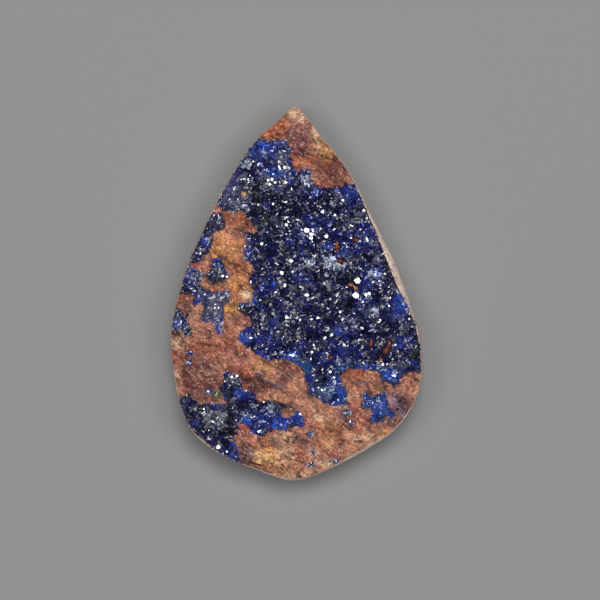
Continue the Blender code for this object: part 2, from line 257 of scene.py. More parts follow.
def lattice_noise(points: Points, pitch: float, seed: int) -> np.ndarray:
    """Value noise: random numbers on a square lattice, blended between its corners by a smooth step.

    Args:
        points: Points in millimetres.
        pitch: The lattice's pitch in millimetres.
        seed: Picks the random numbers and the lattice's turn.

    Returns:
        A number from -1 to 1 for each point.
    """
    random = np.random.default_rng(seed)
    values = random.uniform(-1, 1, (NOISE_CELLS, NOISE_CELLS))
    turn = random.uniform(0, math.pi)
    turned = points @ np.array([[math.cos(turn), math.sin(turn)], [-math.sin(turn), math.cos(turn)]])
    place = turned / pitch + CELL_START
    corner = np.floor(place).astype(int)
    share = smooth_step(place - corner, 0, 1)
    (x0, y0), (x1, y1) = (corner % NOISE_CELLS).T, ((corner + 1) % NOISE_CELLS).T
    low = values[x0, y0] * (1 - share[:, 0]) + values[x1, y0] * share[:, 0]
    high = values[x0, y1] * (1 - share[:, 0]) + values[x1, y1] * share[:, 0]
    return low * (1 - share[:, 1]) + high * share[:, 1]


def layered_noise(points: Points, pitch: float, layers: int, seed: int, fade: float = 0.55) -> np.ndarray:
    """The sum of layers of value noise, each with half the pitch of the last and this share of its height."""
    return sum(lattice_noise(points, pitch / 2**k, seed + k) * fade**k for k in range(layers))


def clump_pattern(points: Points, pitch: float, seed: int) -> tuple[np.ndarray, np.ndarray]:
    """Round clumps about a lattice's scattered points: one less the squared distance to the nearest of them.

    Args:
        points: Points in millimetres.
        pitch: The lattice's pitch in millimetres.
        seed: Picks where the clumps lie.

    Returns:
        How near each point is to a clump's middle, from 0 to 1, and that clump's own number from 0 to 1.
    """
    table = np.random.default_rng(seed).uniform(0, 1, (CLUMP_CELLS, CLUMP_CELLS, 3))
    place = points / pitch + CELL_START
    corner = np.floor(place).astype(int)
    nearest = np.full(len(points), np.inf)
    own_number = np.zeros(len(points))
    for step in np.ndindex(3, 3):
        cell = corner + step - 1
        wander = table[cell[:, 0] % CLUMP_CELLS, cell[:, 1] % CLUMP_CELLS]
        middle = cell + 0.1 + CLUMP_WANDER * wander[:, :2]
        distance = np.linalg.norm(middle - place, axis=1)
        closer = distance < nearest
        nearest = np.where(closer, distance, nearest)
        own_number = np.where(closer, wander[:, 2], own_number)
    return np.clip(1 - (nearest / CLUMP_REACH) ** 2, 0, 1), own_number


def smooth_step(values: np.ndarray, low: float, high: float) -> np.ndarray:
    """Rises from 0 at low to 1 at high, as three times the square less twice the cube of the way between."""
    share = np.clip((values - low) / (high - low), 0, 1)
    return share * share * (3 - 2 * share)


def blend(first: np.ndarray, second: np.ndarray, share: np.ndarray) -> np.ndarray:
    """Mixes two colours, or tables of colours, by a share for each row."""
    return first + (second - first) * np.asarray(share)[..., None]


def squares(numbers: np.ndarray) -> np.ndarray:
    """The corners of each square of a net of vertex numbers, in order round it."""
    return np.stack([numbers[:-1, :-1], numbers[1:, :-1], numbers[1:, 1:], numbers[:-1, 1:]], axis=-1)


def band(ring: np.ndarray, other: np.ndarray) -> np.ndarray:
    """The faces between two rings of vertex numbers."""
    return np.column_stack([ring, other, np.roll(other, -1), np.roll(ring, -1)])


def new_mesh(name: str, vertices: np.ndarray, faces: list[np.ndarray]) -> bpy.types.Object:
    """Makes a flat-shaded object from vertices in millimetres and tables of faces.

    Args:
        name: The object's name.
        vertices: One row for each vertex.
        faces: Tables of vertex numbers, a face to a row.

    Returns:
        The object, in metres and in the scene.
    """
    sizes = np.concatenate([np.full(len(table), table.shape[1]) for table in faces])
    corners = np.concatenate([table.ravel() for table in faces]).astype(np.int32)
    mesh = bpy.data.meshes.new(name)
    mesh.vertices.add(len(vertices))
    mesh.loops.add(len(corners))
    mesh.polygons.add(len(sizes))
    mesh.vertices.foreach_set("co", (vertices * MM).astype(np.float32).ravel())
    mesh.loops.foreach_set("vertex_index", corners)
    starts = np.concatenate([[0], np.cumsum(sizes)[:-1]]).astype(np.int32)
    mesh.polygons.foreach_set("loop_start", starts)
    mesh.update(calc_edges=True)
    mesh.validate()
    mesh.shade_flat()
    made = bpy.data.objects.new(name, mesh)
    bpy.context.scene.collection.objects.link(made)
    return made


def write_colours(piece: bpy.types.Object, name: str, colours: np.ndarray) -> None:
    """Writes linear red, green and blue to each vertex of a piece, as an attribute."""
    rows = np.column_stack([colours, np.ones(len(colours))]).astype(np.float32)
    piece.data.attributes.new(name, "FLOAT_COLOR", "POINT").data.foreach_set("color", rows.ravel())


def write_numbers(piece: bpy.types.Object, name: str, numbers: np.ndarray) -> None:
    """Writes a number to each vertex of a piece, as an attribute."""
    made = piece.data.attributes.new(name, "FLOAT", "POINT")
    made.data.foreach_set("value", numbers.astype(np.float32))


def seat_height(points: Points) -> np.ndarray:
    """The sandstone's level under the druses: the face with its broad swells only."""
    return FACE_LEVEL + bumps(points, SWELLS)


def folds(points: Points) -> np.ndarray:
    """Low folds in the bare stone: each rises steeply at its line and falls away gently on one side of it.

    Args:
        points: Points in millimetres.

    Returns:
        The rise at each point.
    """
    height = np.zeros(len(points))
    for x, y, half, bearing, rise, fade in FOLDS:
        way = np.array([math.cos(math.radians(bearing)), math.sin(math.radians(bearing))])
        offset = points - from_plan((x, y))
        run = offset @ way / (half * PLAN_UNIT)
        across = offset @ np.array([-way[1], way[0]]) + 0.1 * layered_noise(points, 0.6, 2, 80)
        fall = np.exp(-(np.maximum(across, 0) / (fade * PLAN_UNIT)) ** 2)
        height += 2 * rise * np.exp(-run**4) * smooth_step(across, -0.05, 0.07) * fall
    return height


def glimpse_share(points: Points) -> np.ndarray:
    """How far the stone shows through the druses: over 0 to about 1 inside a ragged glimpse."""
    ragged = 1 + 0.5 * layered_noise(points, 0.5, 2, 90)
    return bumps(points, [(*row[:4], 1) for row in GLIMPSES]) * ragged


class NodeTree:
    """A short way to add and join shader nodes in a material or a group."""

    def __init__(self, tree: bpy.types.NodeTree) -> None:
        """Keeps the tree that nodes are added to."""
        self.tree = tree

    def feed(self, node: bpy.types.Node, inputs: dict) -> None:
        """Fills a node's inputs.

        Args:
            node: The node.
            inputs: For each input, by name or number, another node's output or a plain value.
        """
        for key, value in inputs.items():
            if isinstance(value, Socket):
                self.tree.links.new(value, node.inputs[key])
            else:
                node.inputs[key].default_value = value

    def add(self, kind: str, inputs: dict | None = None, **settings: object) -> bpy.types.Node:
        """Adds a node.

        Args:
            kind: The node's type.
            inputs: What its inputs get.
            settings: Settings of the node itself.

        Returns:
            The node.
        """
        node = self.tree.nodes.new(kind)
        for key, value in settings.items():
            setattr(node, key, value)
        self.feed(node, inputs or {})
        return node

    def effect(self, kind: "EffectGroup", inputs: dict) -> bpy.types.Node:
        """Adds one of the shared effects, with its inputs by name."""
        return self.add("ShaderNodeGroup", inputs, node_tree=kind.tree())

    def mix(self, share: object, first: object, second: object, blend_type: str = "MIX") -> Socket:
        """Mixes two colours by the second one's share, and gives the mixed colour's output."""
        inputs = {0: share, 6: first, 7: second}
        return self.add("ShaderNodeMix", inputs, data_type="RGBA", blend_type=blend_type).outputs[2]

    def grey(self, brightness: Socket) -> Socket:
        """A grey of this brightness."""
        inputs = {0: brightness, 1: brightness, 2: brightness}
        return self.add("ShaderNodeCombineColor", inputs).outputs[0]

    def sum(self, operation: str, first: object, second: object) -> Socket:
        """Works out one sum of two numbers, such as MULTIPLY, and gives its output."""
        return self.add("ShaderNodeMath", {0: first, 1: second}, operation=operation).outputs[0]

    def ramp(self, value: Socket, low: float, high: float, to_low: float = 0.0,
             to_high: float = 1.0) -> Socket:
        """Stretches a number from one range to another, kept inside it."""
        inputs = {0: value, 1: low, 2: high, 3: to_low, 4: to_high}
        return self.add("ShaderNodeMapRange", inputs).outputs[0]

    def noise(self, vector: Socket, scale: object, detail: float = 3.0, roughness: float = 0.5) -> Socket:
        """A cloudy pattern's number."""
        inputs = {"Vector": vector, "Scale": scale, "Detail": detail, "Roughness": roughness}
        return self.add("ShaderNodeTexNoise", inputs).outputs[0]


# What the effects' sockets carry, where it isn't a plain number.
SOCKET_KINDS = dict.fromkeys(("Colour", "Stain", "Quartz", "Worn", "Dirt", "Dust"), "NodeSocketColor")
SOCKET_KINDS["Vector"] = "NodeSocketVector"


class EffectGroup(Enum):
    """The effects that the finishes share, each a node group."""

    MOTTLE = "mottle"
    SAND_GRAIN = "sand_grain"
    WEAR_AND_SHADE = "wear_and_shade"
    DUST = "dust"

    def tree(self) -> bpy.types.NodeTree:
        """The effect's node group, made once."""
        found = bpy.data.node_groups.get(self.value)
        return found or getattr(self, f"_make_{self.value}")()

    def _start(self, inputs: str, outputs: str) -> tuple[NodeTree, dict, bpy.types.Node]:
        """Makes an empty group.

        Args:
            inputs: The inputs' names.
            outputs: The outputs' names.

        Returns:
            The group's nodes, its inputs' sockets by name, and its output node.
        """
        group = bpy.data.node_groups.new(self.value, "ShaderNodeTree")
        for in_out, names in (("INPUT", inputs), ("OUTPUT", outputs)):
            for name in names.split():
                kind = SOCKET_KINDS.get(name, "NodeSocketFloat")
                group.interface.new_socket(name=name, in_out=in_out, socket_type=kind)
        nodes = NodeTree(group)
        entry = nodes.add("NodeGroupInput")
        return nodes, {name: entry.outputs[name] for name in inputs.split()}, nodes.add("NodeGroupOutput")

    def _make_mottle(self) -> bpy.types.NodeTree:
        """Cloudy patches in two sizes that darken and lighten a colour, and shift it towards a stain.

        Returns:
            The group.
        """
        nodes, given, out = self._start("Vector Colour Stain Scale Strength", "Colour")
        broad = nodes.noise(given["Vector"], given["Scale"], 4.0)
        fine = nodes.noise(given["Vector"], nodes.sum("MULTIPLY", given["Scale"], 3.7), 4.0)
        stain = nodes.sum("MULTIPLY", nodes.ramp(broad, 0.35, 0.68), given["Strength"])
        stained = nodes.mix(stain, given["Colour"], given["Stain"])
        shaded = nodes.mix(1.0, stained, nodes.grey(nodes.ramp(fine, 0.3, 0.7, 0.72, 1.3)), "MULTIPLY")
        nodes.feed(out, {"Colour": nodes.mix(given["Strength"], stained, shaded)})
        return nodes.tree

    def _make_sand_grain(self) -> bpy.types.NodeTree:
        """Grains of sand: cells that each take a shade of their own, some of them pale quartz.

        Returns:
            The group.
        """
        nodes, given, out = self._start("Vector Colour Quartz Scale Contrast", "Colour Height")
        cells = nodes.add("ShaderNodeTexVoronoi", {"Vector": given["Vector"], "Scale": given["Scale"]})
        parts = nodes.add("ShaderNodeSeparateColor", {0: cells.outputs["Color"]}).outputs
        shade = nodes.grey(nodes.ramp(parts[0], 0.0, 1.0, 0.45, 1.55))
        shaded = nodes.mix(1.0, given["Colour"], shade, "MULTIPLY")
        shaded = nodes.mix(given["Contrast"], given["Colour"], shaded)
        is_quartz = nodes.sum("MULTIPLY", nodes.ramp(parts[1], 0.95, 1.0, 0.0, 0.5), given["Contrast"])
        height = nodes.sum("ADD", nodes.ramp(cells.outputs["Distance"], 0.0, 0.8, 1.0, 0.0), parts[2])
        nodes.feed(out, {"Colour": nodes.mix(is_quartz, shaded, given["Quartz"]), "Height": height})
        return nodes.tree

    def _make_wear_and_shade(self) -> bpy.types.NodeTree:
        """Paler high places and darker hollows, by a number that is over 0 on crests and under 0 in pits:
        part wear and dirt, part painted highlight and painted shade.

        Returns:
            The group.
        """
        nodes, given, out = self._start("Colour Worn Dirt Relief Strength", "Colour")
        crest = nodes.sum("MULTIPLY", nodes.ramp(given["Relief"], 0.25, 1.0), given["Strength"])
        pit = nodes.sum("MULTIPLY", nodes.ramp(given["Relief"], -0.15, -1.0), given["Strength"])
        relief_coloured = nodes.mix(crest, given["Colour"], given["Worn"])
        nodes.feed(out, {"Colour": nodes.mix(pit, relief_coloured, given["Dirt"])})
        return nodes.tree

    def _make_dust(self) -> bpy.types.NodeTree:
        """A thin scatter of pale dust: small flecks of a colour over another.

        Returns:
            The group.
        """
        nodes, given, out = self._start("Vector Colour Dust Scale Amount", "Colour")
        flecks = nodes.ramp(nodes.noise(given["Vector"], given["Scale"], 2.0), 0.56, 0.7)
        mask = nodes.sum("MULTIPLY", flecks, given["Amount"])
        nodes.feed(out, {"Colour": nodes.mix(mask, given["Colour"], given["Dust"])})
        return nodes.tree


def new_material(name: str) -> tuple[NodeTree, bpy.types.Node, bpy.types.Material]:
    """Starts a material.

    Args:
        name: Its name.

    Returns:
        Its nodes, its Principled shader and the material.
    """
    made = bpy.data.materials.new(name)
    made.use_nodes = True
    return NodeTree(made.node_tree), made.node_tree.nodes["Principled BSDF"], made


def rgba(tint: Tint, gain: float = 1.0) -> tuple[float, float, float, float]:
    """A tint as a shader's colour, made lighter or darker by a gain."""
    return (*np.clip(tint.linear * gain, 0, 1).tolist(), 1.0)


@dataclass(frozen=True)
class RustySandstone:
    """Iron-stained sandstone: mottled, grainy, pale on its crests and dark in its pits, partly as painted
    highlight and painted shade.

    The colours' gain allows for the studio's light, so that the stone shows its tints as the eye sees them.
    """

    grain: float = 0.16
    mottle: float = 0.7
    roughness: float = 0.8
    gain: float = 0.78

    def material(self) -> bpy.types.Material:
        """The finish as a material that reads the slab's own tint and relief.

        Returns:
            The material.
        """
        nodes, shader, made = new_material("rusty_sandstone")
        place = nodes.add("ShaderNodeTexCoord").outputs["Object"]
        tint = nodes.add("ShaderNodeAttribute", attribute_name="rock_tint").outputs["Color"]
        relief = nodes.add("ShaderNodeAttribute", attribute_name="relief").outputs["Fac"]
        drawn_out = {"Vector": place, "Rotation": (0, 0, BEDDING), "Scale": (2.6, 1, 1)}
        mottled = nodes.effect(EffectGroup.MOTTLE, {
            "Vector": nodes.add("ShaderNodeMapping", drawn_out, vector_type="TEXTURE").outputs[0],
            "Colour": tint, "Stain": rgba(Tint.BRICK, self.gain * 0.9),
            "Scale": 1 / (self.mottle * MM), "Strength": 0.45,
        }).outputs["Colour"]
        # Pale crests and dark pits and cracks: part wear and dirt, part painted highlight and painted shade.
        relief_coloured = nodes.effect(EffectGroup.WEAR_AND_SHADE, {
            "Colour": mottled, "Worn": nodes.mix(0.3, mottled, rgba(Tint.PALE_TAN, self.gain * 1.6)),
            "Dirt": rgba(Tint.DARK_RED, self.gain * 0.3), "Relief": relief, "Strength": 0.9,
        }).outputs["Colour"]
        colour, height = nodes.effect(EffectGroup.SAND_GRAIN, {
            "Vector": place, "Colour": relief_coloured, "Quartz": rgba(Tint.CREAM, self.gain * 1.1),
            "Scale": 1 / (self.grain * MM), "Contrast": 1.0,
        }).outputs
        bump = nodes.add("ShaderNodeBump", {"Height": height, "Strength": 0.9, "Distance": 0.05 * MM})
        rough = nodes.ramp(height, 0.0, 2.0, self.roughness - 0.18, self.roughness + 0.12)
        nodes.feed(shader, {"Base Color": colour, "Roughness": rough, "Normal": bump.outputs[0]})
        return made


@dataclass(frozen=True)
class GlassyCrystal:
    """Glassy crystal faces over a deep body colour, frosted where the crystals are dull."""

    name: str
    roughness: float = 0.08
    ior: float = 1.76
    dust: float = 0.2

    def material(self) -> bpy.types.Material:
        """The finish as a material that reads the crystals' own tint and frost.

        Returns:
            The material.
        """
        nodes, shader, made = new_material(self.name)
        place = nodes.add("ShaderNodeTexCoord").outputs["Object"]
        tint = nodes.add("ShaderNodeAttribute", attribute_name="crystal_tint").outputs["Color"]
        frost = nodes.add("ShaderNodeAttribute", attribute_name="frost").outputs["Fac"]
        dusty = nodes.effect(EffectGroup.DUST, {
            "Vector": place, "Colour": tint, "Dust": rgba(Tint.SILVER_BLUE, 0.5),
            "Scale": 1 / (0.22 * MM), "Amount": self.dust,
        }).outputs["Colour"]
        clouds = nodes.noise(place, 1 / (0.3 * MM), roughness=0.6)
        rough = nodes.sum("ADD", nodes.ramp(frost, 0.0, 1.0, self.roughness, 0.2),
                          nodes.ramp(clouds, 0.4, 0.75, 0.0, 0.1))
        nodes.feed(shader, {"Base Color": dusty, "Roughness": rough, "IOR": self.ior})
        return made


@dataclass(frozen=True)
class PaintedTable:
    """A plain matt table top with a faint unevenness."""

    tint: Tint = Tint.TABLE_GREY

    def material(self) -> bpy.types.Material:
        """The finish as a material.

        Returns:
            The material.
        """
        nodes, shader, made = new_material("painted_table")
        place = nodes.add("ShaderNodeTexCoord").outputs["Object"]
        speck = nodes.ramp(nodes.noise(place, 1 / (0.8 * MM), roughness=0.6), 0.3, 0.7)
        colour = nodes.mix(speck, rgba(self.tint), rgba(self.tint, 1.01))
        nodes.feed(shader, {"Base Color": colour, "Roughness": 0.9, "Specular IOR Level": 0.1})
        return made


@dataclass
class Slab:
    """The sandstone: a broken natural face, a ground wall round it, and a sawn flat back."""

    rows: int = 350
    columns: int = 190
    wall_levels: tuple[float, ...] = (0.985, 0.96, 0.9, 0.8, 0.7, 0.6, 0.5, 0.4, 0.3, 0.2, 0.1, 0.04, 0.015)
    foot_chamfer: float = 0.12
    # This gain lightens the wall's colours: painted light on its steep sides, over its own pale sand.
    wall_painted_light: float = 1.85
    broken_rise: float = 0.16
    ledge_drop: float = 0.24
    fine_rise: float = 0.03
    bedding_rise: float = 0.13
    crack_depth: float = 0.15
    skirt_rise: float = 0.2
    skirt_width: float = 1.2
    seed: int = 70
    finish: RustySandstone = RustySandstone()

    def flank(self, points: list, bevel: list, inset: float) -> Points:
        """Points down one flank of the slab, moved in by a share of the face's bevel.

        Args:
            points: The flank's outline on the plan.
            bevel: The bevel's width by the share of the way down.
            inset: The share of the bevel.

        Returns:
            A point for each row.
        """
        shares = np.linspace(0, 1, self.rows + 1)
        line = along(smooth_line(from_plan(points)), shares)
        return line + to_heart(line) * (np.interp(shares, *zip(*bevel)) * inset)[:, None]

    def loop(self, inset: float) -> Points:
        """The edge as a loop, down the right flank and up the left, moved in by a share of the bevel."""
        right = self.flank(RIGHT_FLANK, RIGHT_BEVEL, inset)
        return np.vstack([right, self.flank(LEFT_FLANK, LEFT_BEVEL, inset)[-2:0:-1]])

    def height(self, points: Points, clear: np.ndarray) -> tuple[np.ndarray, np.ndarray]:
        """The face's level: its seat, a rise into each druse, and lumps and broken stone where it is bare.

        Args:
            points: Points in millimetres.
            clear: How far each lies outside the druses.

        Returns:
            The level, and the relief from -1 in pits to 1 on crests.
        """
        bare = smooth_step(clear, -0.05, 0.55)
        broken = layered_noise(points, 2.2, 3, self.seed)
        ledges = np.abs(layered_noise(points, 3.1, 3, self.seed + 5))
        fine = layered_noise(points, 0.28, 2, self.seed + 9, 0.8)
        drawn, cracks = self.bedding(points)
        relief = self.broken_rise * broken - self.ledge_drop * ledges + self.fine_rise * fine
        relief = relief + self.bedding_rise * drawn - self.crack_depth * cracks + folds(points)
        skirt = self.skirt_rise * (1 - smooth_step(clear, 0.0, self.skirt_width))
        level = seat_height(points) + skirt + bare * (bumps(points, LUMPS) + relief + 0.05)
        level += bumps(points, GLIMPSES) * (1 + 0.25 * fine)
        for name in GRAINS:
            low, high = (np.array(corner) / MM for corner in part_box(name))
            offset = points - (low + high)[:2] / 2
            near = np.exp(-(offset**2).sum(1) / SEAT_REACH**2)
            level += near * (low[2] - GRAIN_SINK - level)
        return level, np.clip(0.3 * fine + 0.5 * drawn - 0.4 * ledges - cracks + 0.1, -1, 1)

    def bedding(self, points: Points) -> tuple[np.ndarray, np.ndarray]:
        """Relief drawn out along the stone's bedding, and cracks where another such noise passes through 0.

        Args:
            points: Points in millimetres.

        Returns:
            The drawn-out noise, and how far each point lies in a crack, from 0 to 1.
        """
        way = np.array([[math.cos(BEDDING), -math.sin(BEDDING)], [math.sin(BEDDING), math.cos(BEDDING)]])
        turned = points @ way / [3.2, 1]
        drawn = layered_noise(turned, 0.6, 4, self.seed + 72, 0.7)
        crossing = layered_noise(turned, 1.3, 3, self.seed + 74) / 0.07
        parted = smooth_step(layered_noise(points, 2.6, 2, self.seed + 76), 0.0, 0.4)
        return drawn, parted * np.exp(-crossing**2)

    def face_tint(self, points: Points, clear: np.ndarray) -> np.ndarray:
        """The face's colours: a ground tint, soft oval stains laid over it in order, some of them painted
        shadows and a painted highlight, and a dark druse's rim.

        Args:
            points: Points in millimetres.
            clear: How far each lies outside the druses.

        Returns:
            Linear colours.
        """
        broad = layered_noise(points, 2.4, 4, self.seed + 62, 0.65)
        colours = blend(Tint.LIGHT_BROWN.linear, Tint.BRICK.linear, smooth_step(broad, 0.0, 0.9))
        drift = [layered_noise(points, 1.4, 4, self.seed + k, 0.65) for k in (20, 30)]
        drift = np.column_stack(drift) * 0.4
        for x, y, radius_x, radius_y, tint, strength in ROCK_TINTS:
            waver = drift * min(1.0, (radius_x + radius_y) / 30)
            offset = (points + waver - from_plan((x, y))) / (np.array([radius_x, radius_y]) * PLAN_UNIT)
            colours = blend(colours, tint.linear, strength * np.exp(-((offset**2).sum(1)) ** 2))
        drawn, _ = self.bedding(points + 3)
        shade = 1.05 + 0.34 * layered_noise(points, 0.7, 4, self.seed + 64, 0.75) + 0.2 * drawn
        colours = colours * np.clip(shade, 0.4, 1.6)[:, None]
        colours = colours * (1 - smooth_step(drawn, 0.1, 1.2)[:, None] * [0.2, 0.38, 0.4])
        pale = smooth_step(layered_noise(points, 0.18, 2, self.seed + 66, 0.8), 0.5, 1.2)
        colours = blend(colours, colours * 0.8 + Tint.PINK_CREAM.linear * 0.3, pale)
        rim = 1 - smooth_step(rim_depth(points), 0.25, 0.5)
        return blend(colours, Tint.SLATE.linear * 0.25, 0.85 * rim * smooth_step(-clear, -0.15, 0.1))

    def wall_tint(self, points: Points) -> np.ndarray:
        """The ground wall's colours: pale sand with rusty clouds, lightened by a gain as painted light on the
        steep wall.
        """
        rust = smooth_step(layered_noise(points, 4.0, 3, self.seed + 40), -0.1, 0.8)
        return blend(Tint.PINK_CREAM.linear, Tint.ROSE_TAN.linear, rust * 0.5) * self.wall_painted_light

    def wall(self, ring: np.ndarray, rim_level: np.ndarray, start: int) -> tuple[list, list, np.ndarray]:
        """The wall as a stack of rings, each at a share of the rim's level and moved in by a power of it.

        Args:
            ring: The rim's vertex numbers.
            rim_level: The level of each of them.
            start: The first free vertex number.

        Returns:
            The rings' vertices, the faces between them, and the back's ring of vertex numbers.
        """
        vertices, faces = [], []
        for share in self.wall_levels:
            spots = self.loop(share**WALL_CURVE)
            inward = to_heart(spots)
            chafe = self.foot_chamfer * (1 - smooth_step(np.array(share), 0.0, 0.06))
            rounding = 0.05 * smooth_step(np.array(share), 0.93, 1.0)
            wander = 0.02 * layered_noise(spots + share * 3, 0.9, 3, self.seed + 50)
            spots = spots + inward * (chafe + rounding + wander)[:, None]
            vertices.append(np.column_stack([spots, rim_level * share]))
            lower = start + np.arange(len(spots))
            faces.append(band(ring, lower))
            ring, start = lower, start + len(spots)
        foot = spots + inward * self.foot_chamfer * 0.6
        vertices.append(np.column_stack([foot, np.zeros(len(foot))]))
        back = start + np.arange(len(foot))
        return vertices, [*faces, band(ring, back)], back

    def build(self, druses: "list[Druse]") -> bpy.types.Object:
        """Makes the slab as one closed mesh.

        The face is ruled from the left flank to the right one, row by row, and the rows at the point and the
        foot are single points. The back is a ladder between the flanks.

        Args:
            druses: The druses on the face.

        Returns:
            The slab.
        """
        right = self.flank(RIGHT_FLANK, RIGHT_BEVEL, 1.0)
        left = self.flank(LEFT_FLANK, LEFT_BEVEL, 1.0)
        across = np.linspace(0, 1, self.columns + 1)[None, :, None]
        inner = (left[:, None] + (right - left)[:, None] * across)[1:-1].reshape(-1, 2)
        plane = np.vstack([right[:1], inner, right[-1:]])
        clear = clearance(plane, druses)
        level, relief = self.height(plane, clear)

        numbers = 1 + np.arange(len(inner)).reshape(self.rows - 1, self.columns + 1)
        last = len(plane) - 1
        point_fan = np.column_stack([np.zeros(self.columns, int), numbers[0, :-1], numbers[0, 1:]])
        foot_fan = np.column_stack([np.full(self.columns, last), numbers[-1, 1:], numbers[-1, :-1]])
        ring = np.concatenate([[0], numbers[:, -1], [last], numbers[::-1, 0]])
        rings, bands, back = self.wall(ring, level[ring], last + 1)
        near, far = back[1:self.rows], back[:self.rows:-1]
        ladder = np.column_stack([near[:-1], far[:-1], far[1:], near[1:]])[:, ::-1]
        ends = np.array([[back[0], far[0], near[0]], [back[self.rows], near[-1], far[-1]]])[:, ::-1]

        outside = np.vstack(rings)
        vertices = np.vstack([np.column_stack([plane, level]), outside])
        faces = [squares(numbers).reshape(-1, 4), *bands, ladder, point_fan, foot_fan, ends]
        made = new_mesh("sandstone_slab", vertices, faces)
        made.data.shade_smooth()
        wall_tint = self.wall_tint(outside[:, :2] + outside[:, 2:] * 0.7)
        tints = np.vstack([self.face_tint(plane, clear), wall_tint])
        write_colours(made, "rock_tint", tints * self.finish.gain)
        wall_relief = 0.3 * layered_noise(outside[:, :2] + outside[:, 2:], 0.7, 3, self.seed + 60)
        write_numbers(made, "relief", np.concatenate([relief, wall_relief]))
        made.data.materials.append(self.finish.material())
        return made


@dataclass
class Block:
    """A crystal's form: its length, width and height, its table's share of each side, and its leans."""

    length: float
    width: float
    height: float
    table: tuple[float, float]
    lean: tuple[float, float]


class Habit(Enum):
    """The forms that azurite crystals take here."""

    BLADE = Block(0.5, 0.2, 0.32, (0.78, 0.5), (0.0, 0.6))
    TABLET = Block(0.42, 0.34, 0.24, (0.72, 0.68), (0.0, 0.5))
    CHISEL = Block(0.36, 0.28, 0.32, (0.5, 0.2), (0.0, 0.5))


HABIT_SHARES = (0.4, 0.32, 0.28)
OUTLINE = np.array([(0.5, 0.0), (0.3, 0.5), (-0.3, 0.5), (-0.5, 0.0), (-0.3, -0.5), (0.3, -0.5)])
SIDE_FACES = np.array([(k, (k + 1) % SIDES, (k + 1) % SIDES + SIDES, k + SIDES) for k in range(SIDES)])
END_FACES = np.array([(5, 4, 3, 2, 1, 0), (6, 7, 8, 9, 10, 11)])


def crystal_blocks(roots: np.ndarray, axes: np.ndarray, sizes: np.ndarray, tables: np.ndarray,
                   random: np.random.Generator) -> tuple[np.ndarray, list[np.ndarray]]:
    """Stamps a six-sided block at each root, that narrows to a smaller table on top.

    A corner is its root, plus its share of the length along the block's own long side, of the width across it
    and of the height up its axis. The table's corners rise by a share of their place on it, so it is flat but
    tilted.

    Args:
        roots: Where each crystal's root is.
        axes: Which way each points, as a unit vector.
        sizes: Length, width and height of each.
        tables: The table's share of the length and the width of each.
        random: Turns the crystals and moves their corners a little.

    Returns:
        Vertices, twelve to a crystal, and its faces with four corners and with six.
    """
    count = len(roots)
    spins = random.uniform(0, math.pi, count)
    guide = np.where(np.abs(axes[:, 2:]) < 0.9, [[0, 0, 1.0]], [[1.0, 0, 0]])
    side = np.cross(guide, axes)
    side /= np.linalg.norm(side, axis=1)[:, None]
    other = np.cross(axes, side)
    long_way = side * np.cos(spins)[:, None] + other * np.sin(spins)[:, None]
    cross_way = np.cross(axes, long_way)

    flat = np.empty((count, CORNERS, 2))
    flat[:, :SIDES] = OUTLINE * random.uniform(0.75, 1.15, (count, SIDES, 1))
    slide = random.uniform(-0.3, 0.3, (count, 1, 2)) * (1 - tables[:, None])
    flat[:, SIDES:] = OUTLINE * tables[:, None] * random.uniform(0.65, 1.15, (count, SIDES, 1)) + slide
    up = np.full((count, CORNERS), -ROOT_DEPTH)
    up[:, SIDES:] = 1 + (flat[:, SIDES:] * random.uniform(-0.1, 0.1, (count, 1, 2))).sum(2)
    vertices = (roots[:, None]
                + long_way[:, None] * (flat[..., 0:1] * sizes[:, None, 0:1])
                + cross_way[:, None] * (flat[..., 1:2] * sizes[:, None, 1:2])
                + axes[:, None] * (up * sizes[:, 2:3])[..., None])
    first = CORNERS * np.arange(count)[:, None, None]
    faces = [(SIDE_FACES + first).reshape(-1, 4), (END_FACES + first).reshape(-1, SIDES)]
    return vertices.reshape(-1, 3), faces


def kept_under(vertices: np.ndarray, roots: np.ndarray, lid: float) -> np.ndarray:
    """Shrinks the crystals that pass a level, each about its root, until they just reach it.

    Args:
        vertices: The crystals' vertices, twelve to a crystal.
        roots: Where each crystal's root is.
        lid: The level.

    Returns:
        The vertices, moved where they have to be.
    """
    arms = vertices.reshape(len(roots), CORNERS, 3) - roots[:, None]
    room = (lid - roots[:, 2]) / np.maximum(arms[..., 2].max(1), 1e-9)
    return (roots[:, None] + arms * np.minimum(1, room)[:, None, None]).reshape(-1, 3)


def crystal_piece(name: str, vertices: np.ndarray, faces: list[np.ndarray], colours: np.ndarray,
                  frost: np.ndarray, finish: bpy.types.Material) -> bpy.types.Object:
    """Makes an object of crystals.

    Args:
        name: The node that it stands for.
        vertices: Its vertices.
        faces: Its tables of faces.
        colours: Each vertex's linear colour.
        frost: How dull each vertex is, from 0 to 1.
        finish: Its material.

    Returns:
        The object.
    """
    made = new_mesh(f"{name}_crystals", vertices, faces)
    write_colours(made, "crystal_tint", colours)
    write_numbers(made, "frost", frost)
    made.data.materials.append(finish)
    return made


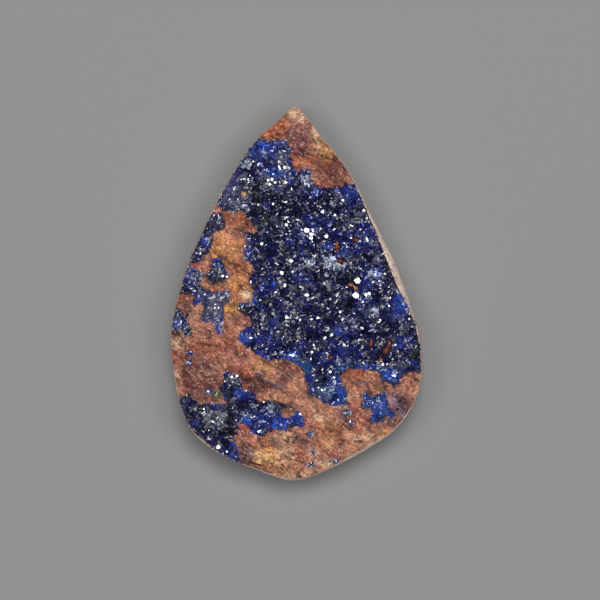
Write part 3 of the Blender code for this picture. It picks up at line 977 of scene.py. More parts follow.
@dataclass
class Druse:
    """A crust of azurite: an uneven bed with crystals grown close together all over it."""

    name: str
    outline: list[tuple[float, float]]
    thickness: float
    mounds: list[tuple[float, float, float, float]]
    seed: int
    nets: tuple[tuple[float, float], ...] = ((0.5, 1.2), (0.27, 0.8), (0.16, 0.5))
    coarse: float = 1.0
    clump_pitch: float = 1.35
    clump_rise: float = 0.75
    ragged: float = 0.14
    bed_pitch: float = 0.2
    bed_edge: float = 0.1
    bed_least: float = 0.08
    bed_sink: float = 0.12
    bed_shade: float = 0.6
    lean_by_slope: float = 1.1

    def __post_init__(self) -> None:
        """Works out the outline in millimetres, kept on the face."""
        corners = from_plan(self.outline)
        closed = np.vstack([corners, corners[:1]])
        self.corners = kept_on_face(along(closed, np.linspace(0, 1, len(corners) * 6, endpoint=False)))

    def distance(self, points: Points) -> np.ndarray:
        """How far points lie outside the druse's ragged edge, negative inside it.

        Args:
            points: Points in millimetres.

        Returns:
            A distance for each point.
        """
        held = smooth_step(rim_depth(points), 0.05, 0.5)
        ragged = held * self.ragged * layered_noise(points, 0.9, 3, self.seed + 100)
        return edge_distance(points, self.corners) + ragged - 0.1 * (1 - held)

    def clumps(self, points: Points) -> tuple[np.ndarray, np.ndarray]:
        """How near points are to a clump's middle, from 0 to 1, and that clump's own number."""
        return clump_pattern(points, self.clump_pitch, self.seed + 200)

    def bed_height(self, points: Points, inside: np.ndarray) -> np.ndarray:
        """The bed's top: thin at its edge, then its thickness, mounds and round clumps, levelled under a lid.

        Args:
            points: Points in millimetres.
            inside: How far each lies inside the edge.

        Returns:
            The bed's level.
        """
        bells = [(x, y, radius, radius, rise) for x, y, radius, rise in self.mounds]
        near, own_number = self.clumps(points)
        small, _ = clump_pattern(points, self.clump_pitch * 0.45, self.seed + 210)
        clumps = self.clump_rise * (np.sqrt(near) * (0.5 + 0.5 * own_number) + 0.22 * np.sqrt(small) - 0.8)
        clumps -= 0.8 * bumps(points, CREVICES)
        grown = self.thickness - self.bed_edge + bumps(points, bells) + clumps
        body = self.bed_edge + grown * smooth_step(inside, -0.1, 0.7)
        level = seat_height(points) + SEAT_GAP + np.maximum(body, self.bed_least) - self.bed_sink
        over = np.maximum(level - LID_LEVEL, 0)
        return level - over + LID_SPARE * np.tanh(over / LID_SPARE)

    def build_bed(self) -> tuple[np.ndarray, np.ndarray]:
        """The bed as a closed skin over the squares of a net that lie inside the edge.

        Returns:
            Vertices and faces.
        """
        low, high = self.corners.min(0) - self.bed_pitch, self.corners.max(0) + self.bed_pitch
        xs, ys = (np.arange(low[k], high[k], self.bed_pitch) for k in (0, 1))
        points = np.stack(np.meshgrid(xs, ys, indexing="ij"), axis=-1).reshape(-1, 2)
        gap = self.distance(points)
        level, floor = self.bed_height(points, -gap), seat_height(points)
        covered = ((gap < -0.02) & (glimpse_share(points) < 0.35)).reshape(len(xs), len(ys))
        cells = covered[:-1, :-1] & covered[1:, :-1] & covered[1:, 1:] & covered[:-1, 1:]
        square = squares(np.arange(len(points)).reshape(covered.shape))
        top = square[cells]
        skins = [top, top[:, ::-1] + len(points)]
        padded = np.pad(cells, 1)
        for (a, b), (dx, dy) in (((0, 1), (0, -1)), ((1, 2), (1, 0)), ((2, 3), (0, 1)), ((3, 0), (-1, 0))):
            outer = padded[1 + dx:padded.shape[0] - 1 + dx, 1 + dy:padded.shape[1] - 1 + dy]
            start, end = square[cells & ~outer][:, (a, b)].T
            skins.append(np.column_stack([end, start, start + len(points), end + len(points)]))
        vertices = np.vstack([np.column_stack([points, level]), np.column_stack([points, floor])])
        return trimmed(vertices, np.vstack(skins))

    def crystal_places(self, random: np.random.Generator) -> tuple[Points, np.ndarray, np.ndarray]:
        """Roots of the crystals: points of hexagonal nets, moved a bit, inside the edge and off the glimpses.

        Args:
            random: Moves the points.

        Returns:
            Points, how far each lies inside the edge, and the size of its net's crystals.
        """
        low, high = self.corners.min(0), self.corners.max(0)
        points, growth = [], []
        for pitch, size in self.nets:
            x, y = np.meshgrid(np.arange(low[0], high[0], pitch), np.arange(low[1], high[1], pitch * 0.866))
            x[1::2] += pitch / 2
            stray = random.uniform(-0.5, 0.5, (x.size, 2)) * pitch
            points.append(np.column_stack([x.ravel(), y.ravel()]) + stray)
            growth.append(np.full(x.size, size))
        points, growth = np.vstack(points), np.concatenate(growth)
        gap = self.distance(points)
        keep = (gap < -0.02) & (glimpse_share(points) < 0.26)
        keep &= random.uniform(0, 1, len(points)) > 0.45 * cover(points, COARSE_SPOTS) * (growth < 1)
        keep &= (growth > 0.6) | (bumps(points, FROST_SPOTS) > 0.35)
        for x, y, size in GLINTS:
            keep &= np.linalg.norm(points - from_plan((x, y)), axis=1) > 0.5 * size
        return points[keep], -gap[keep], growth[keep]

    def slope(self, points: Points, inside: np.ndarray) -> np.ndarray:
        """The bed's outward direction, from its fall to each side over a short step.

        Args:
            points: Points in millimetres.
            inside: How far each lies inside the edge.

        Returns:
            Unit vectors.
        """
        step = 0.12
        fall = [
            (self.bed_height(points - offset, inside) - self.bed_height(points + offset, inside)) / (2 * step)
            for offset in (np.array([step, 0.0]), np.array([0.0, step]))
        ]
        way = np.column_stack([*fall, np.ones(len(points))])
        return way / np.linalg.norm(way, axis=1)[:, None]

    def build_crystals(
        self, random: np.random.Generator,
    ) -> tuple[np.ndarray, list[np.ndarray], Points, np.ndarray]:
        """All the crystals, of random habits, sizes and leans, and the large glinting ones among them.

        Args:
            random: Picks them.

        Returns:
            Vertices, faces, each crystal's middle, and how far it lies inside the edge.
        """
        points, inside, growth = self.crystal_places(random)
        count = len(points)
        habits = [habit.value for habit in Habit]
        kind = random.choice(len(habits), count, p=HABIT_SHARES)
        sizes = np.array([(h.length, h.width, h.height) for h in habits])[kind]
        tables = np.array([h.table for h in habits])[kind]
        leans = np.array([h.lean for h in habits])[kind]
        near, own_number = self.clumps(points)
        grown = growth * self.coarse * (0.6 + 0.4 * smooth_step(inside, 0.05, 0.6))
        grown = grown * (0.85 + 0.3 * own_number)
        fine = np.clip(bumps(points, DULL_SPOTS) + 0.7 * bumps(points, FROST_SPOTS), 0, 1)
        grown *= 1 + 0.35 * bumps(points, COARSE_SPOTS) - 0.45 * fine
        sizes = sizes * grown[:, None] * np.exp(random.normal(0, 0.25, (count, 3)))
        tables = np.clip(tables + random.uniform(-0.08, 0.08, (count, 2)), 0.05, 0.92)
        buried = 1 - smooth_step(near, 0.0, 0.35)
        lean = random.uniform(leans[:, 0], leans[:, 1]) + buried * random.uniform(0.2, 0.9, count)
        lean *= 1 - 0.5 * cover(points, SPARKLE_SPOTS)
        lean += 0.7 * cover(points, CREVICES) + 0.4 * cover(points, DARK_SPOTS)
        heading = random.uniform(0, 2 * math.pi, count)
        tilt = [np.cos(heading) * np.sin(lean), np.sin(heading) * np.sin(lean), np.cos(lean)]
        axes = np.column_stack(tilt)
        axes[:, :2] += self.slope(points, inside)[:, :2] * self.lean_by_slope
        axes[:, 2] = np.maximum(axes[:, 2], 0.12)
        axes /= np.linalg.norm(axes, axis=1)[:, None]
        level = self.bed_height(points, inside) + random.uniform(-0.06, 0.08, count)
        glints = np.array([row for row in GLINTS if self.distance(from_plan(row[:2])[None])[0] < 0])
        if len(glints):
            spots = from_plan(glints[:, :2])
            depth = -self.distance(spots)
            points, inside = np.vstack([points, spots]), np.concatenate([inside, depth])
            level = np.concatenate([level, self.bed_height(spots, depth) + GLINT_RISE])
            axes = np.vstack([axes, GLINT_AXIS + random.normal(0, GLINT_SWAY, (len(glints), 3))])
            sizes = np.vstack([sizes, glints[:, 2:3] * GLINT_SHAPE])
            tables = np.vstack([tables, np.full((len(glints), 2), GLINT_TABLE)])
        roots = np.column_stack([points, level])
        vertices, faces = crystal_blocks(roots, axes, sizes, tables, random)
        return kept_under(vertices, roots, TOP_LEVEL), faces, points, inside

    def tint(self, points: Points, inside: np.ndarray,
             random: np.random.Generator) -> tuple[np.ndarray, np.ndarray]:
        """The crystals' body colours: navy in thick places, cobalt where they are thin, dull where weathered,
        with painted shade between clumps and in crevices and a painted grey sheen on some clump tops.

        Args:
            points: The crystals' middles.
            inside: How far each lies inside the edge.
            random: Varies them.

        Returns:
            Linear colours, and the frost from 0 to 1.
        """
        count = len(points)
        patch = layered_noise(points, 1.6, 3, self.seed + 300)
        near, own_number = self.clumps(points)
        held = smooth_step(rim_depth(points), 0.1, 0.6)
        thin = np.clip(1 - inside / 0.5, 0, 1) * smooth_step(patch, 0.0, 0.7) * held * 0.9
        cloudy = 0.4 * smooth_step(patch, 0.1, 0.9) + 0.45 * smooth_step(own_number, 0.85, 0.95) * (1 - near)
        lit = np.clip(thin + cloudy + bumps(points, BRIGHT_SPOTS), 0, 1) * random.uniform(0.5, 1.15, count)
        lit = np.clip(lit + 0.35 * random.uniform(0, 1, count) ** 8, 0, 1)
        dark = cover(points, DARK_SPOTS)
        lit *= 1 - 0.6 * dark
        dull = cover(points, DULL_SPOTS) * random.uniform(0.3, 1, count)
        chance = random.uniform(0, 1, count)
        frost = smooth_step(0.5 * cover(points, FROST_SPOTS) - chance, -0.1, 0.15)
        grey = smooth_step(0.8 * cover(points, GREY_SPOTS) - chance, -0.15, 0.25)
        # Painted sheen: a steel grey on some crystals at the clumps' tops.
        top_sheen = smooth_step(near, 0.3, 0.9) * smooth_step(own_number, 0.3, 0.8)
        top_sheen = top_sheen * smooth_step(chance, 0.6, 0.9) * (1 - frost)
        olive = smooth_step(layered_noise(points, 1.1, 2, self.seed + 320), 0.55, 1.1)
        colours = Tint.NAVY.linear
        for tint, gain, share in (
            (Tint.INDIGO, 1.0, smooth_step(lit, 0.0, 0.35)), (Tint.COBALT, 1.0, smooth_step(lit, 0.3, 0.8)),
            (Tint.AZURE, 1.0, cover(points, AZURE_SPOTS)), (Tint.VIOLET_GREY, 1.0, dull),
            (Tint.SILVER_BLUE, 2.3, frost), (Tint.STEEL, 1.4, grey),
            (Tint.STEEL, 1.2, 0.6 * top_sheen * (1 - lit)),
            (Tint.OLIVE_GREY, 0.5, olive * (1 - lit) * (1 - frost) * 0.7),
        ):
            colours = blend(colours, tint.linear * gain, share)
        # Painted shade: the crystals between clumps and in crevices are darkened, and those in the dark spots
        # a little.
        gap = self.clump_rise * (1 - smooth_step(near, 0.05, 0.6))
        depth = np.maximum(1 - gap, np.maximum(lit, 0.7 * frost))
        depth *= (1 - 0.9 * cover(points, CREVICES)) * (1 - 0.35 * dark)
        shade = random.uniform(0.5, 1.3, count) * depth
        return colours * shade[:, None], np.clip(frost + 0.5 * dull, 0, 1)

    def build(self, finish: bpy.types.Material) -> bpy.types.Object:
        """Makes the druse as one mesh.

        Args:
            finish: Its material.

        Returns:
            The druse.
        """
        random = np.random.default_rng(self.seed)
        bed, bed_faces = self.build_bed()
        vertices, faces, points, inside = self.build_crystals(random)
        colours, frost = self.tint(points, inside, random)
        bed_inside = -edge_distance(bed[:, :2], self.corners)
        bed_colours, bed_frost = self.tint(bed[:, :2], bed_inside, random)
        return crystal_piece(
            self.name, np.vstack([bed, vertices]), [bed_faces, *(table + len(bed) for table in faces)],
            np.vstack([bed_colours * self.bed_shade, np.repeat(colours, CORNERS, axis=0)]),
            np.concatenate([bed_frost, np.repeat(frost, CORNERS)]), finish,
        )


def trimmed(vertices: np.ndarray, faces: np.ndarray) -> tuple[np.ndarray, np.ndarray]:
    """Drops the vertices that no face uses, and renumbers the faces.

    Args:
        vertices: All the vertices.
        faces: Faces that use some of them.

    Returns:
        The vertices that are used, and the renumbered faces.
    """
    used = np.unique(faces)
    number = np.zeros(len(vertices), int)
    number[used] = np.arange(len(used))
    return vertices[used], number[faces]


def clearance(points: Points, druses: list[Druse]) -> np.ndarray:
    """How far points lie outside the nearest druse, negative inside it."""
    return np.min([druse.distance(points) for druse in druses], axis=0)


@functools.cache
def face_edge(rows: int) -> Points:
    """The broken face's edge as a closed loop, with this many rows to a flank."""
    return Slab(rows=rows).loop(1.0)


def rim_depth(points: Points) -> np.ndarray:
    """How far points lie inside the broken face's edge, negative outside it."""
    return -edge_distance(points, face_edge(EDGE_ROWS))


def kept_on_face(points: Points) -> Points:
    """Draws points that lie past the face's edge back to just inside it, straight towards the heart.

    Args:
        points: Points in millimetres.

    Returns:
        The points, moved where they have to be.
    """
    heart = from_plan(PLAN_HEART)
    edge = face_edge(Slab.rows) - heart
    bearing = np.arctan2(edge[:, 1], edge[:, 0])
    order = np.argsort(bearing)
    reach = np.linalg.norm(edge, axis=1)[order]
    offset = points - heart
    limit = np.interp(np.arctan2(offset[:, 1], offset[:, 0]), bearing[order], reach, period=2 * math.pi)
    distance = np.maximum(np.linalg.norm(offset, axis=1), 1e-9)
    return heart + offset * np.minimum(1, (limit - RIM_MARGIN) / distance)[:, None]


@dataclass
class Grain:
    """A small group of crystals of its own on the bare stone, in the place of one of the frame's grains."""

    name: str
    tint: Tint
    seed: int
    crystals: int = 10
    frost: float = 0.15

    def build(self, finish: bpy.types.Material) -> bpy.types.Object:
        """Makes the grain as a huddle of crystals that fills its node's box.

        Args:
            finish: Its material.

        Returns:
            The grain.
        """
        random, count = np.random.default_rng(self.seed), self.crystals
        low, high = (np.array(corner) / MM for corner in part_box(self.name))
        middle, size = (low + high) / 2, high - low
        angle = random.uniform(0, 2 * math.pi, count)
        reach = np.sqrt(np.linspace(0, 1, count)) * 0.26
        spread = np.column_stack([np.cos(angle), np.sin(angle)]) * reach[:, None]
        roots = np.column_stack([middle[:2] + spread * size[:2], np.full(count, low[2] - GRAIN_SINK)])
        axes = np.column_stack([spread * 2.0, np.ones(count)]) + GLINT_AXIS * 0.6
        axes /= np.linalg.norm(axes, axis=1)[:, None]
        sizes = np.ones((count, 3)) * size * [0.5, 0.4, 1.0]
        sizes[:, 2] *= 1 - reach
        sizes *= random.uniform(0.8, 1.0, (count, 3))
        tables = random.uniform(0.3, 0.8, (count, 2))
        vertices, faces = crystal_blocks(roots, axes, sizes, tables, random)
        deep = random.uniform(0, 1, count) ** 0.4
        colours = blend(self.tint.linear[None], self.tint.linear[None] * 0.25, deep)
        return crystal_piece(self.name, vertices, faces, np.repeat(colours, CORNERS, axis=0),
                             np.full(len(vertices), self.frost), finish)


@dataclass(frozen=True)
class Lamp:
    """A round soft lamp, by its lean from straight above, bearing and angular radius in degrees."""

    name: str
    lean: float
    bearing: float
    radius: float
    radiance: float
    distance: float = 0.7


@dataclass
class Studio:
    """The table, the lamps and the camera."""

    lamps: tuple[Lamp, ...] = (
        Lamp("key_lamp", 17, 84, 10, 18.0), Lamp("left_lamp", 26, 170, 14, 4.8),
        Lamp("right_lamp", 26, 10, 14, 5.0), Lamp("front_lamp", 30, -90, 12, 4.4),
    )
    world: float = 0.08
    picture_middle: tuple[float, float] = (300.0, 300.0)
    picture_width: float = 600.0
    camera_distance: float = 0.5
    sensor: float = 36.0

    def build_table(self) -> None:
        """Makes the table's top, a plane at the specimen's back."""
        half = TABLE_SIZE / 2 / MM
        corners = np.array([(-half, -half, 0), (half, -half, 0), (half, half, 0), (-half, half, 0)])
        table = new_mesh("table", corners, [np.array([[0, 1, 2, 3]])])
        table.data.materials.append(PaintedTable().material())

    def light(self) -> None:
        """Hangs the lamps, and fills the room with an even grey."""
        for lamp in self.lamps:
            data = bpy.data.lights.new(lamp.name, "AREA")
            data.shape = "DISK"
            data.size = width = 2 * lamp.distance * math.tan(math.radians(lamp.radius))
            data.energy = lamp.radiance * math.pi * math.pi * (width / 2) ** 2
            lean, bearing = math.radians(lamp.lean), math.radians(lamp.bearing)
            across = math.sin(lean)
            way = Vector((across * math.cos(bearing), across * math.sin(bearing), math.cos(lean)))
            thing = bpy.data.objects.new(lamp.name, data)
            thing.location = way * lamp.distance
            thing.rotation_euler = way.to_track_quat("Z", "Y").to_euler()
            thing.visible_camera = False
            bpy.context.scene.collection.objects.link(thing)
        world = bpy.data.worlds.new("room")
        world.use_nodes = True
        background = world.node_tree.nodes["Background"].inputs
        background["Color"].default_value = (1.0, 1.0, 1.0, 1.0)
        background["Strength"].default_value = self.world
        bpy.context.scene.world = world
        bpy.context.scene.view_settings.view_transform = "Standard"

    def place_camera(self) -> None:
        """Hangs the camera straight above, with the slab's point up in the picture."""
        data = bpy.data.cameras.new("camera")
        data.sensor_width = self.sensor
        wide = self.picture_width * PLAN_UNIT * MM
        data.lens = self.sensor * (self.camera_distance - FACE_LEVEL * MM) / wide
        data.clip_start, data.clip_end = 0.01, 10.0
        camera = bpy.data.objects.new("camera", data)
        camera.location = (*(from_plan(self.picture_middle) * MM), self.camera_distance)
        bpy.context.scene.collection.objects.link(camera)
        bpy.context.scene.camera = camera


# Stains in the order that they lie over each other, with a few painted shadows and a painted highlight among
# them: plan x and y, radii, tint and strength.
ROCK_TINTS = [
    (300, 150, 50, 50, Tint.RED_BROWN, 0.6), (296, 112, 14, 12, Tint.PALE_TAN, 0.9),
    (276, 129, 15, 9, Tint.RUST_ORANGE, 1.0), (299, 139, 13, 18, Tint.PURPLE_BROWN, 0.9),
    # Pale bands along the right edge at (320, 138), (330, 153) and (342, 172): pale stone and painted
    # highlight on the bevel.
    (320, 138, 9, 16, Tint.PALE_TAN, 0.85), (330, 153, 8, 12, Tint.GOLD, 0.8),
    (342, 172, 5, 10, Tint.OCHRE, 0.7), (306, 160, 10, 7, Tint.ORANGE, 0.7),
    (332, 172, 18, 13, Tint.DARK_RED, 0.75), (237, 217, 14, 9, Tint.BROWN, 0.9),
    (250, 223, 7, 7, Tint.RED_BROWN, 0.9), (218, 246, 7, 15, Tint.GOLD, 0.9),
    (232, 250, 12, 14, Tint.OCHRE, 0.95), (239, 268, 11, 10, Tint.BROWN, 0.95),
    (238, 284, 9, 9, Tint.GOLD, 0.8), (246, 296, 10, 9, Tint.BROWN, 0.9),
    (245.5, 295, 6.2, 6.2, Tint.PEBBLE_GOLD, 1.0), (231, 307, 8, 10, Tint.GOLD, 0.9),
    (241, 320, 12, 6, Tint.ROSE_TAN, 1.0), (186, 300, 12, 12, Tint.RED_BROWN, 0.8),
    (189, 308, 8, 6, Tint.UMBER, 0.9), (217, 241, 5, 7, Tint.BROWN, 0.8),
    (206, 296, 8, 8, Tint.ORANGE, 0.8), (208, 329, 18, 9, Tint.ROSE_TAN, 0.8),
    (233, 336, 8, 8, Tint.RED_BROWN, 0.8), (213, 347, 26, 9, Tint.RED_BROWN, 0.95),
    (178, 342, 10, 9, Tint.PALE_TAN, 0.6), (201, 374, 24, 21, Tint.DARK_RED, 1.0),
    (240, 358, 14, 8, Tint.ROSE_TAN, 0.7), (262, 366, 18, 8, Tint.OCHRE, 0.7),
    (176, 378, 7, 16, Tint.PALE_TAN, 0.6), (262, 385, 24, 8, Tint.DARK_RED, 0.85),
    (288, 374, 15, 9, Tint.ROSE_TAN, 0.8), (291, 401, 15, 10, Tint.LIGHT_BROWN, 0.9),
    (205, 396, 24, 6, Tint.DARK_RED, 0.9), (207, 394, 16, 7, Tint.UMBER, 0.6),
    # Umber at (289, 408): dark stone and painted shadow beside the lower cluster; at (230, 436): painted
    # shadow under its raised mass.
    (260, 392, 9, 6, Tint.UMBER, 0.7), (289, 408, 9, 7, Tint.UMBER, 1.0), (230, 436, 8, 6, Tint.UMBER, 1.0),
    (243, 431, 10, 9, Tint.BRICK, 0.8), (254, 445, 14, 6, Tint.ROSE_TAN, 0.8),
    (264, 456, 12, 10, Tint.GOLD, 0.95), (262, 458, 10, 8, Tint.PEBBLE_GOLD, 0.35),
    (284, 455, 9, 14, Tint.PALE_TAN, 0.7), (299, 453, 5, 9, Tint.RED_BROWN, 0.8),
    (280, 470, 30, 9, Tint.OCHRE, 0.5), (303, 425, 12, 9, Tint.ROSE_TAN, 0.7),
    (290, 437, 13, 8, Tint.PALE_TAN, 0.7), (328, 463, 10, 6, Tint.PALE_TAN, 0.6),
    (358, 423, 9, 9, Tint.RED_BROWN, 0.8), (389, 425, 11, 7, Tint.PURPLE_BROWN, 0.8),
    (325, 433, 14, 14, Tint.OCHRE, 0.6), (318, 420, 10, 6, Tint.PALE_TAN, 0.5),
    (341, 431, 6, 9, Tint.RED_BROWN, 0.8), (368, 440, 16, 8, Tint.PALE_TAN, 0.7),
    (386, 434, 8, 6, Tint.GOLD, 0.6), (356, 376, 12, 6, Tint.BROWN, 0.9),
    (366, 384, 14, 4, Tint.PURPLE_BROWN, 0.9), (350, 392, 8, 8, Tint.LIGHT_BROWN, 0.8),
    (410, 380, 8, 8, Tint.ROSE_TAN, 0.8), (404, 404, 14, 16, Tint.DARK_RED, 0.5),
    (400, 405, 13, 15, Tint.PURPLE_BROWN, 1.0), (395, 400, 8, 10, Tint.SLATE, 0.75),
    (402, 414, 6, 6, Tint.SLATE, 0.6), (418, 386, 4, 12, Tint.PALE_TAN, 0.8),
    (300, 478, 26, 6, Tint.PALE_TAN, 0.9), (345, 464, 40, 5, Tint.PALE_TAN, 0.6),
    (345, 411, 7, 11, Tint.SLATE, 0.5), (311, 434, 6, 5, Tint.SLATE, 0.6),
    (303, 443, 5, 4, Tint.SLATE, 0.5), (312, 451, 4, 4, Tint.SLATE, 0.5), (310, 465, 7, 4, Tint.SLATE, 0.6),
    (336, 461, 6, 4, Tint.SLATE, 0.5), (276, 442, 5, 3, Tint.SLATE, 0.6), (250, 455, 9, 5, Tint.SLATE, 0.6),
    (260, 375, 5, 3, Tint.SLATE, 0.5), (266, 380, 5, 3, Tint.SLATE, 0.5), (278, 386, 7, 4, Tint.SLATE, 0.5),
    (337, 246, 5, 10, Tint.RED_RUST, 1.0), (354, 287, 9, 6, Tint.ORANGE, 1.0),
    (355, 288, 2.4, 1.4, Tint.PALE_TAN, 1.0), (341, 261, 7, 6, Tint.RED_RUST, 1.0),
    (356, 240, 8, 5, Tint.RED_RUST, 1.0), (371, 343, 6, 9, Tint.RED_RUST, 1.0),
    (386, 350, 11, 14, Tint.RED_RUST, 1.0), (331, 359, 7, 11, Tint.RED_RUST, 0.9),
    (243, 194, 8, 8, Tint.PALE_TAN, 1.0),
]

# Places where the stone shows through the druses: plan x and y, radii, and its rise there.
GLIMPSES = [
    (337, 246, 2, 5.4, 1.1), (340.5, 261, 3, 2.4, 1.05), (350.5, 285, 3, 2, 1.05),
    (355.5, 288.5, 3.4, 2.2, 1.1), (356, 240, 3.4, 2, 0.85), (243.5, 194.5, 3.2, 3.4, 0.8),
    (371.5, 343, 2.2, 4.2, 1.0), (331, 359, 1.6, 5.5, 0.7), (389, 343, 2.6, 4, 1.0),
    (385.5, 351, 3.4, 3.6, 1.0), (381, 359, 2.2, 3, 0.9),
]

# Folds: plan x and y, half length, bearing in degrees, rise in millimetres and the fall's width.
FOLDS = [
    (264.5, 446, 7, 8, 0.3, 8), (241, 325, 10, -16, 0.4, 9), (236, 265, 11, -14, 0.2, 8),
    (246, 365, 16, -36, 0.2, 6), (266, 381, 18, -32, 0.25, 7), (212, 345, 17, -8, 0.25, 8),
    (196, 389, 14, -24, 0.15, 6), (360, 386, 12, 6, 0.25, 6), (319, 443, 7, -62, 0.2, 6),
    (335, 428, 9, -50, 0.2, 7), (322, 168, 16, -40, 0.2, 7), (300, 150, 12, -60, 0.15, 6),
    (240, 228, 12, 12, 0.2, 8), (402, 398, 10, 50, 0.2, 6), (284, 395, 12, -30, 0.2, 6),
    (300, 462, 14, -12, 0.15, 6),
]

# Soft spots on the druses: plan x and y, radii and strength. Crevices lower the bed and darken its crystals
# as painted shade.
CREVICES = [
    (232, 394, 3, 5, 1), (229, 432, 11, 3.6, 1.4), (266, 206, 16, 12, 0.4), (197, 428, 6, 2, 0.9),
    (215, 418, 1.8, 5, 0.8), (191, 417, 2, 5, 0.8), (241, 405, 2, 5, 0.7), (185, 299, 5, 6, 0.9),
    (211, 285, 5, 1.8, 1), (226, 280, 4, 1.5, 1), (339, 238, 8, 1.8, 1), (285, 200, 3, 7, 0.6),
    (262, 218, 3, 8, 0.6), (300, 247, 12, 2.5, 0.6), (320, 278, 9, 2.5, 0.8), (346, 303, 9, 2.5, 0.7),
    (280, 312, 3, 7, 0.6), (316, 335, 10, 2.2, 0.7), (350, 353, 10, 2.2, 0.6), (366, 258, 3, 8, 0.6),
    (385, 318, 3, 9, 0.5), (296, 188, 7, 2.5, 0.6), (322, 378, 3, 8, 0.5), (345, 224, 6, 2, 0.6),
]
GREY_SPOTS = [
    (217, 419, 20, 13, 1.0), (352, 222, 9, 6, 0.5), (330, 285, 10, 5, 0.5), (284, 312, 14, 10, 0.4),
    (271, 183, 12, 8, 0.7), (285, 158, 8, 12, 0.6), (262, 160, 12, 8, 0.4),
]
DARK_SPOTS = [
    (270, 222, 18, 14, 0.9), (262, 243, 10, 9, 0.8), (288, 254, 12, 8, 0.6), (290, 208, 12, 8, 0.7),
    (244, 184, 8, 9, 0.9), (316, 208, 14, 9, 0.7), (330, 238, 8, 6, 0.6), (216, 241, 5, 7, 0.6),
]
COARSE_SPOTS = [(221, 421, 20, 15, 1.0), (306, 232, 8, 8, 0.5), (213, 446, 8, 6, 0.6)]
BRIGHT_SPOTS = [
    (272, 168, 26, 24, 0.2), (376, 405, 14, 13, 0.5), (275, 420, 22, 12, 0.5), (360, 240, 14, 14, 0.35),
    (345, 325, 30, 12, 0.15), (322, 222, 20, 12, 0.1), (345, 352, 16, 8, 0.3), (389, 373, 10, 6, 0.6),
    (262, 340, 14, 10, 0.25), (269, 150, 8, 6, 0.8), (316, 194, 5, 5, 0.8), (352, 195, 9, 9, 0.75),
    (378, 274, 5, 9, 0.7), (402, 304, 9, 13, 1.0), (242, 337, 5, 8, 0.9), (258, 354, 5, 4, 0.9),
    (289, 358, 7, 6, 1.0), (309, 386, 5, 10, 0.9), (342, 394, 7, 11, 0.9), (335, 403, 9, 4, 0.7),
    (365, 367, 8, 4, 0.8), (390, 379, 10, 7, 0.7), (328, 247, 5, 4, 0.9), (345, 254, 4, 5, 0.9),
    (247, 256, 5, 11, 0.7), (206, 242, 4, 6, 0.9), (199, 300, 6, 7, 0.8), (177, 325, 5, 5, 0.9),
    (244, 421, 8, 6, 1.0), (284, 428, 5, 4, 0.9), (301, 419, 5, 7, 0.8), (232, 460, 8, 4, 0.5),
    (367, 396, 5, 5, 0.8), (391, 415, 5, 4, 0.9), (222, 331, 8, 5, 0.8), (218, 396, 5, 4, 0.6),
    (238, 392, 6, 6, 0.5),
]
AZURE_SPOTS = [
    (292, 361, 6, 4, 0.8), (283, 427, 4, 2, 0.5), (247, 420, 4, 3, 0.4), (346, 368, 12, 5, 0.35),
    (374, 376, 14, 7, 0.35), (328, 394, 16, 10, 0.3), (380, 406, 12, 12, 0.2), (302, 368, 9, 7, 0.5),
]
DULL_SPOTS = [(232, 194, 14, 20, 0.9), (217, 303, 13, 20, 1.2), (212, 226, 9, 9, 0.4), (226, 402, 6, 5, 0.4)]
FROST_SPOTS = [
    (331, 263, 12, 9, 1.1), (308, 264, 8, 6, 0.9), (266, 183, 12, 7, 0.9), (374, 270, 8, 9, 0.9),
    (356, 192, 7, 8, 0.4), (226, 293, 6, 6, 0.8), (234, 378, 7, 6, 0.9), (273, 410, 10, 8, 0.7),
    (356, 222, 8, 5, 0.3), (220, 423, 12, 8, 0.5), (304, 298, 8, 6, 0.5), (374, 309, 9, 5, 0.4),
    (193, 274, 10, 12, 0.5), (218, 270, 8, 9, 0.6), (181, 323, 9, 10, 0.6), (376, 405, 12, 12, 0.25),
    (330, 388, 9, 9, 0.5), (286, 167, 6, 12, 0.9), (207, 240, 7, 14, 0.3), (308, 180, 8, 9, 0.8),
    (247, 163, 4, 10, 0.7), (240, 210, 8, 5, 0.7), (264, 142, 14, 4, 0.5), (249, 253, 6, 9, 0.8),
]
SPARKLE_SPOTS = [
    (271, 184, 15, 9, 0.8), (261, 148, 9, 7, 0.4), (283, 160, 8, 10, 0.6), (308, 181, 8, 7, 0.6),
    (326, 219, 10, 6, 0.5), (323, 262, 16, 9, 0.8), (308, 264, 7, 6, 0.6), (283, 273, 9, 6, 0.4),
    (305, 297, 24, 12, 0.6), (295, 323, 14, 9, 0.5), (332, 317, 14, 10, 0.5), (357, 286, 8, 12, 0.5),
    (377, 273, 9, 8, 0.6), (357, 329, 12, 9, 0.5), (323, 367, 12, 10, 0.5), (338, 393, 8, 10, 0.7),
    (345, 344, 12, 7, 0.5), (219, 420, 20, 14, 1.0), (231, 381, 7, 7, 0.7), (274, 410, 11, 8, 0.7),
    (375, 403, 9, 9, 0.6), (353, 222, 10, 7, 0.5), (400, 345, 12, 14, 0.4),
]

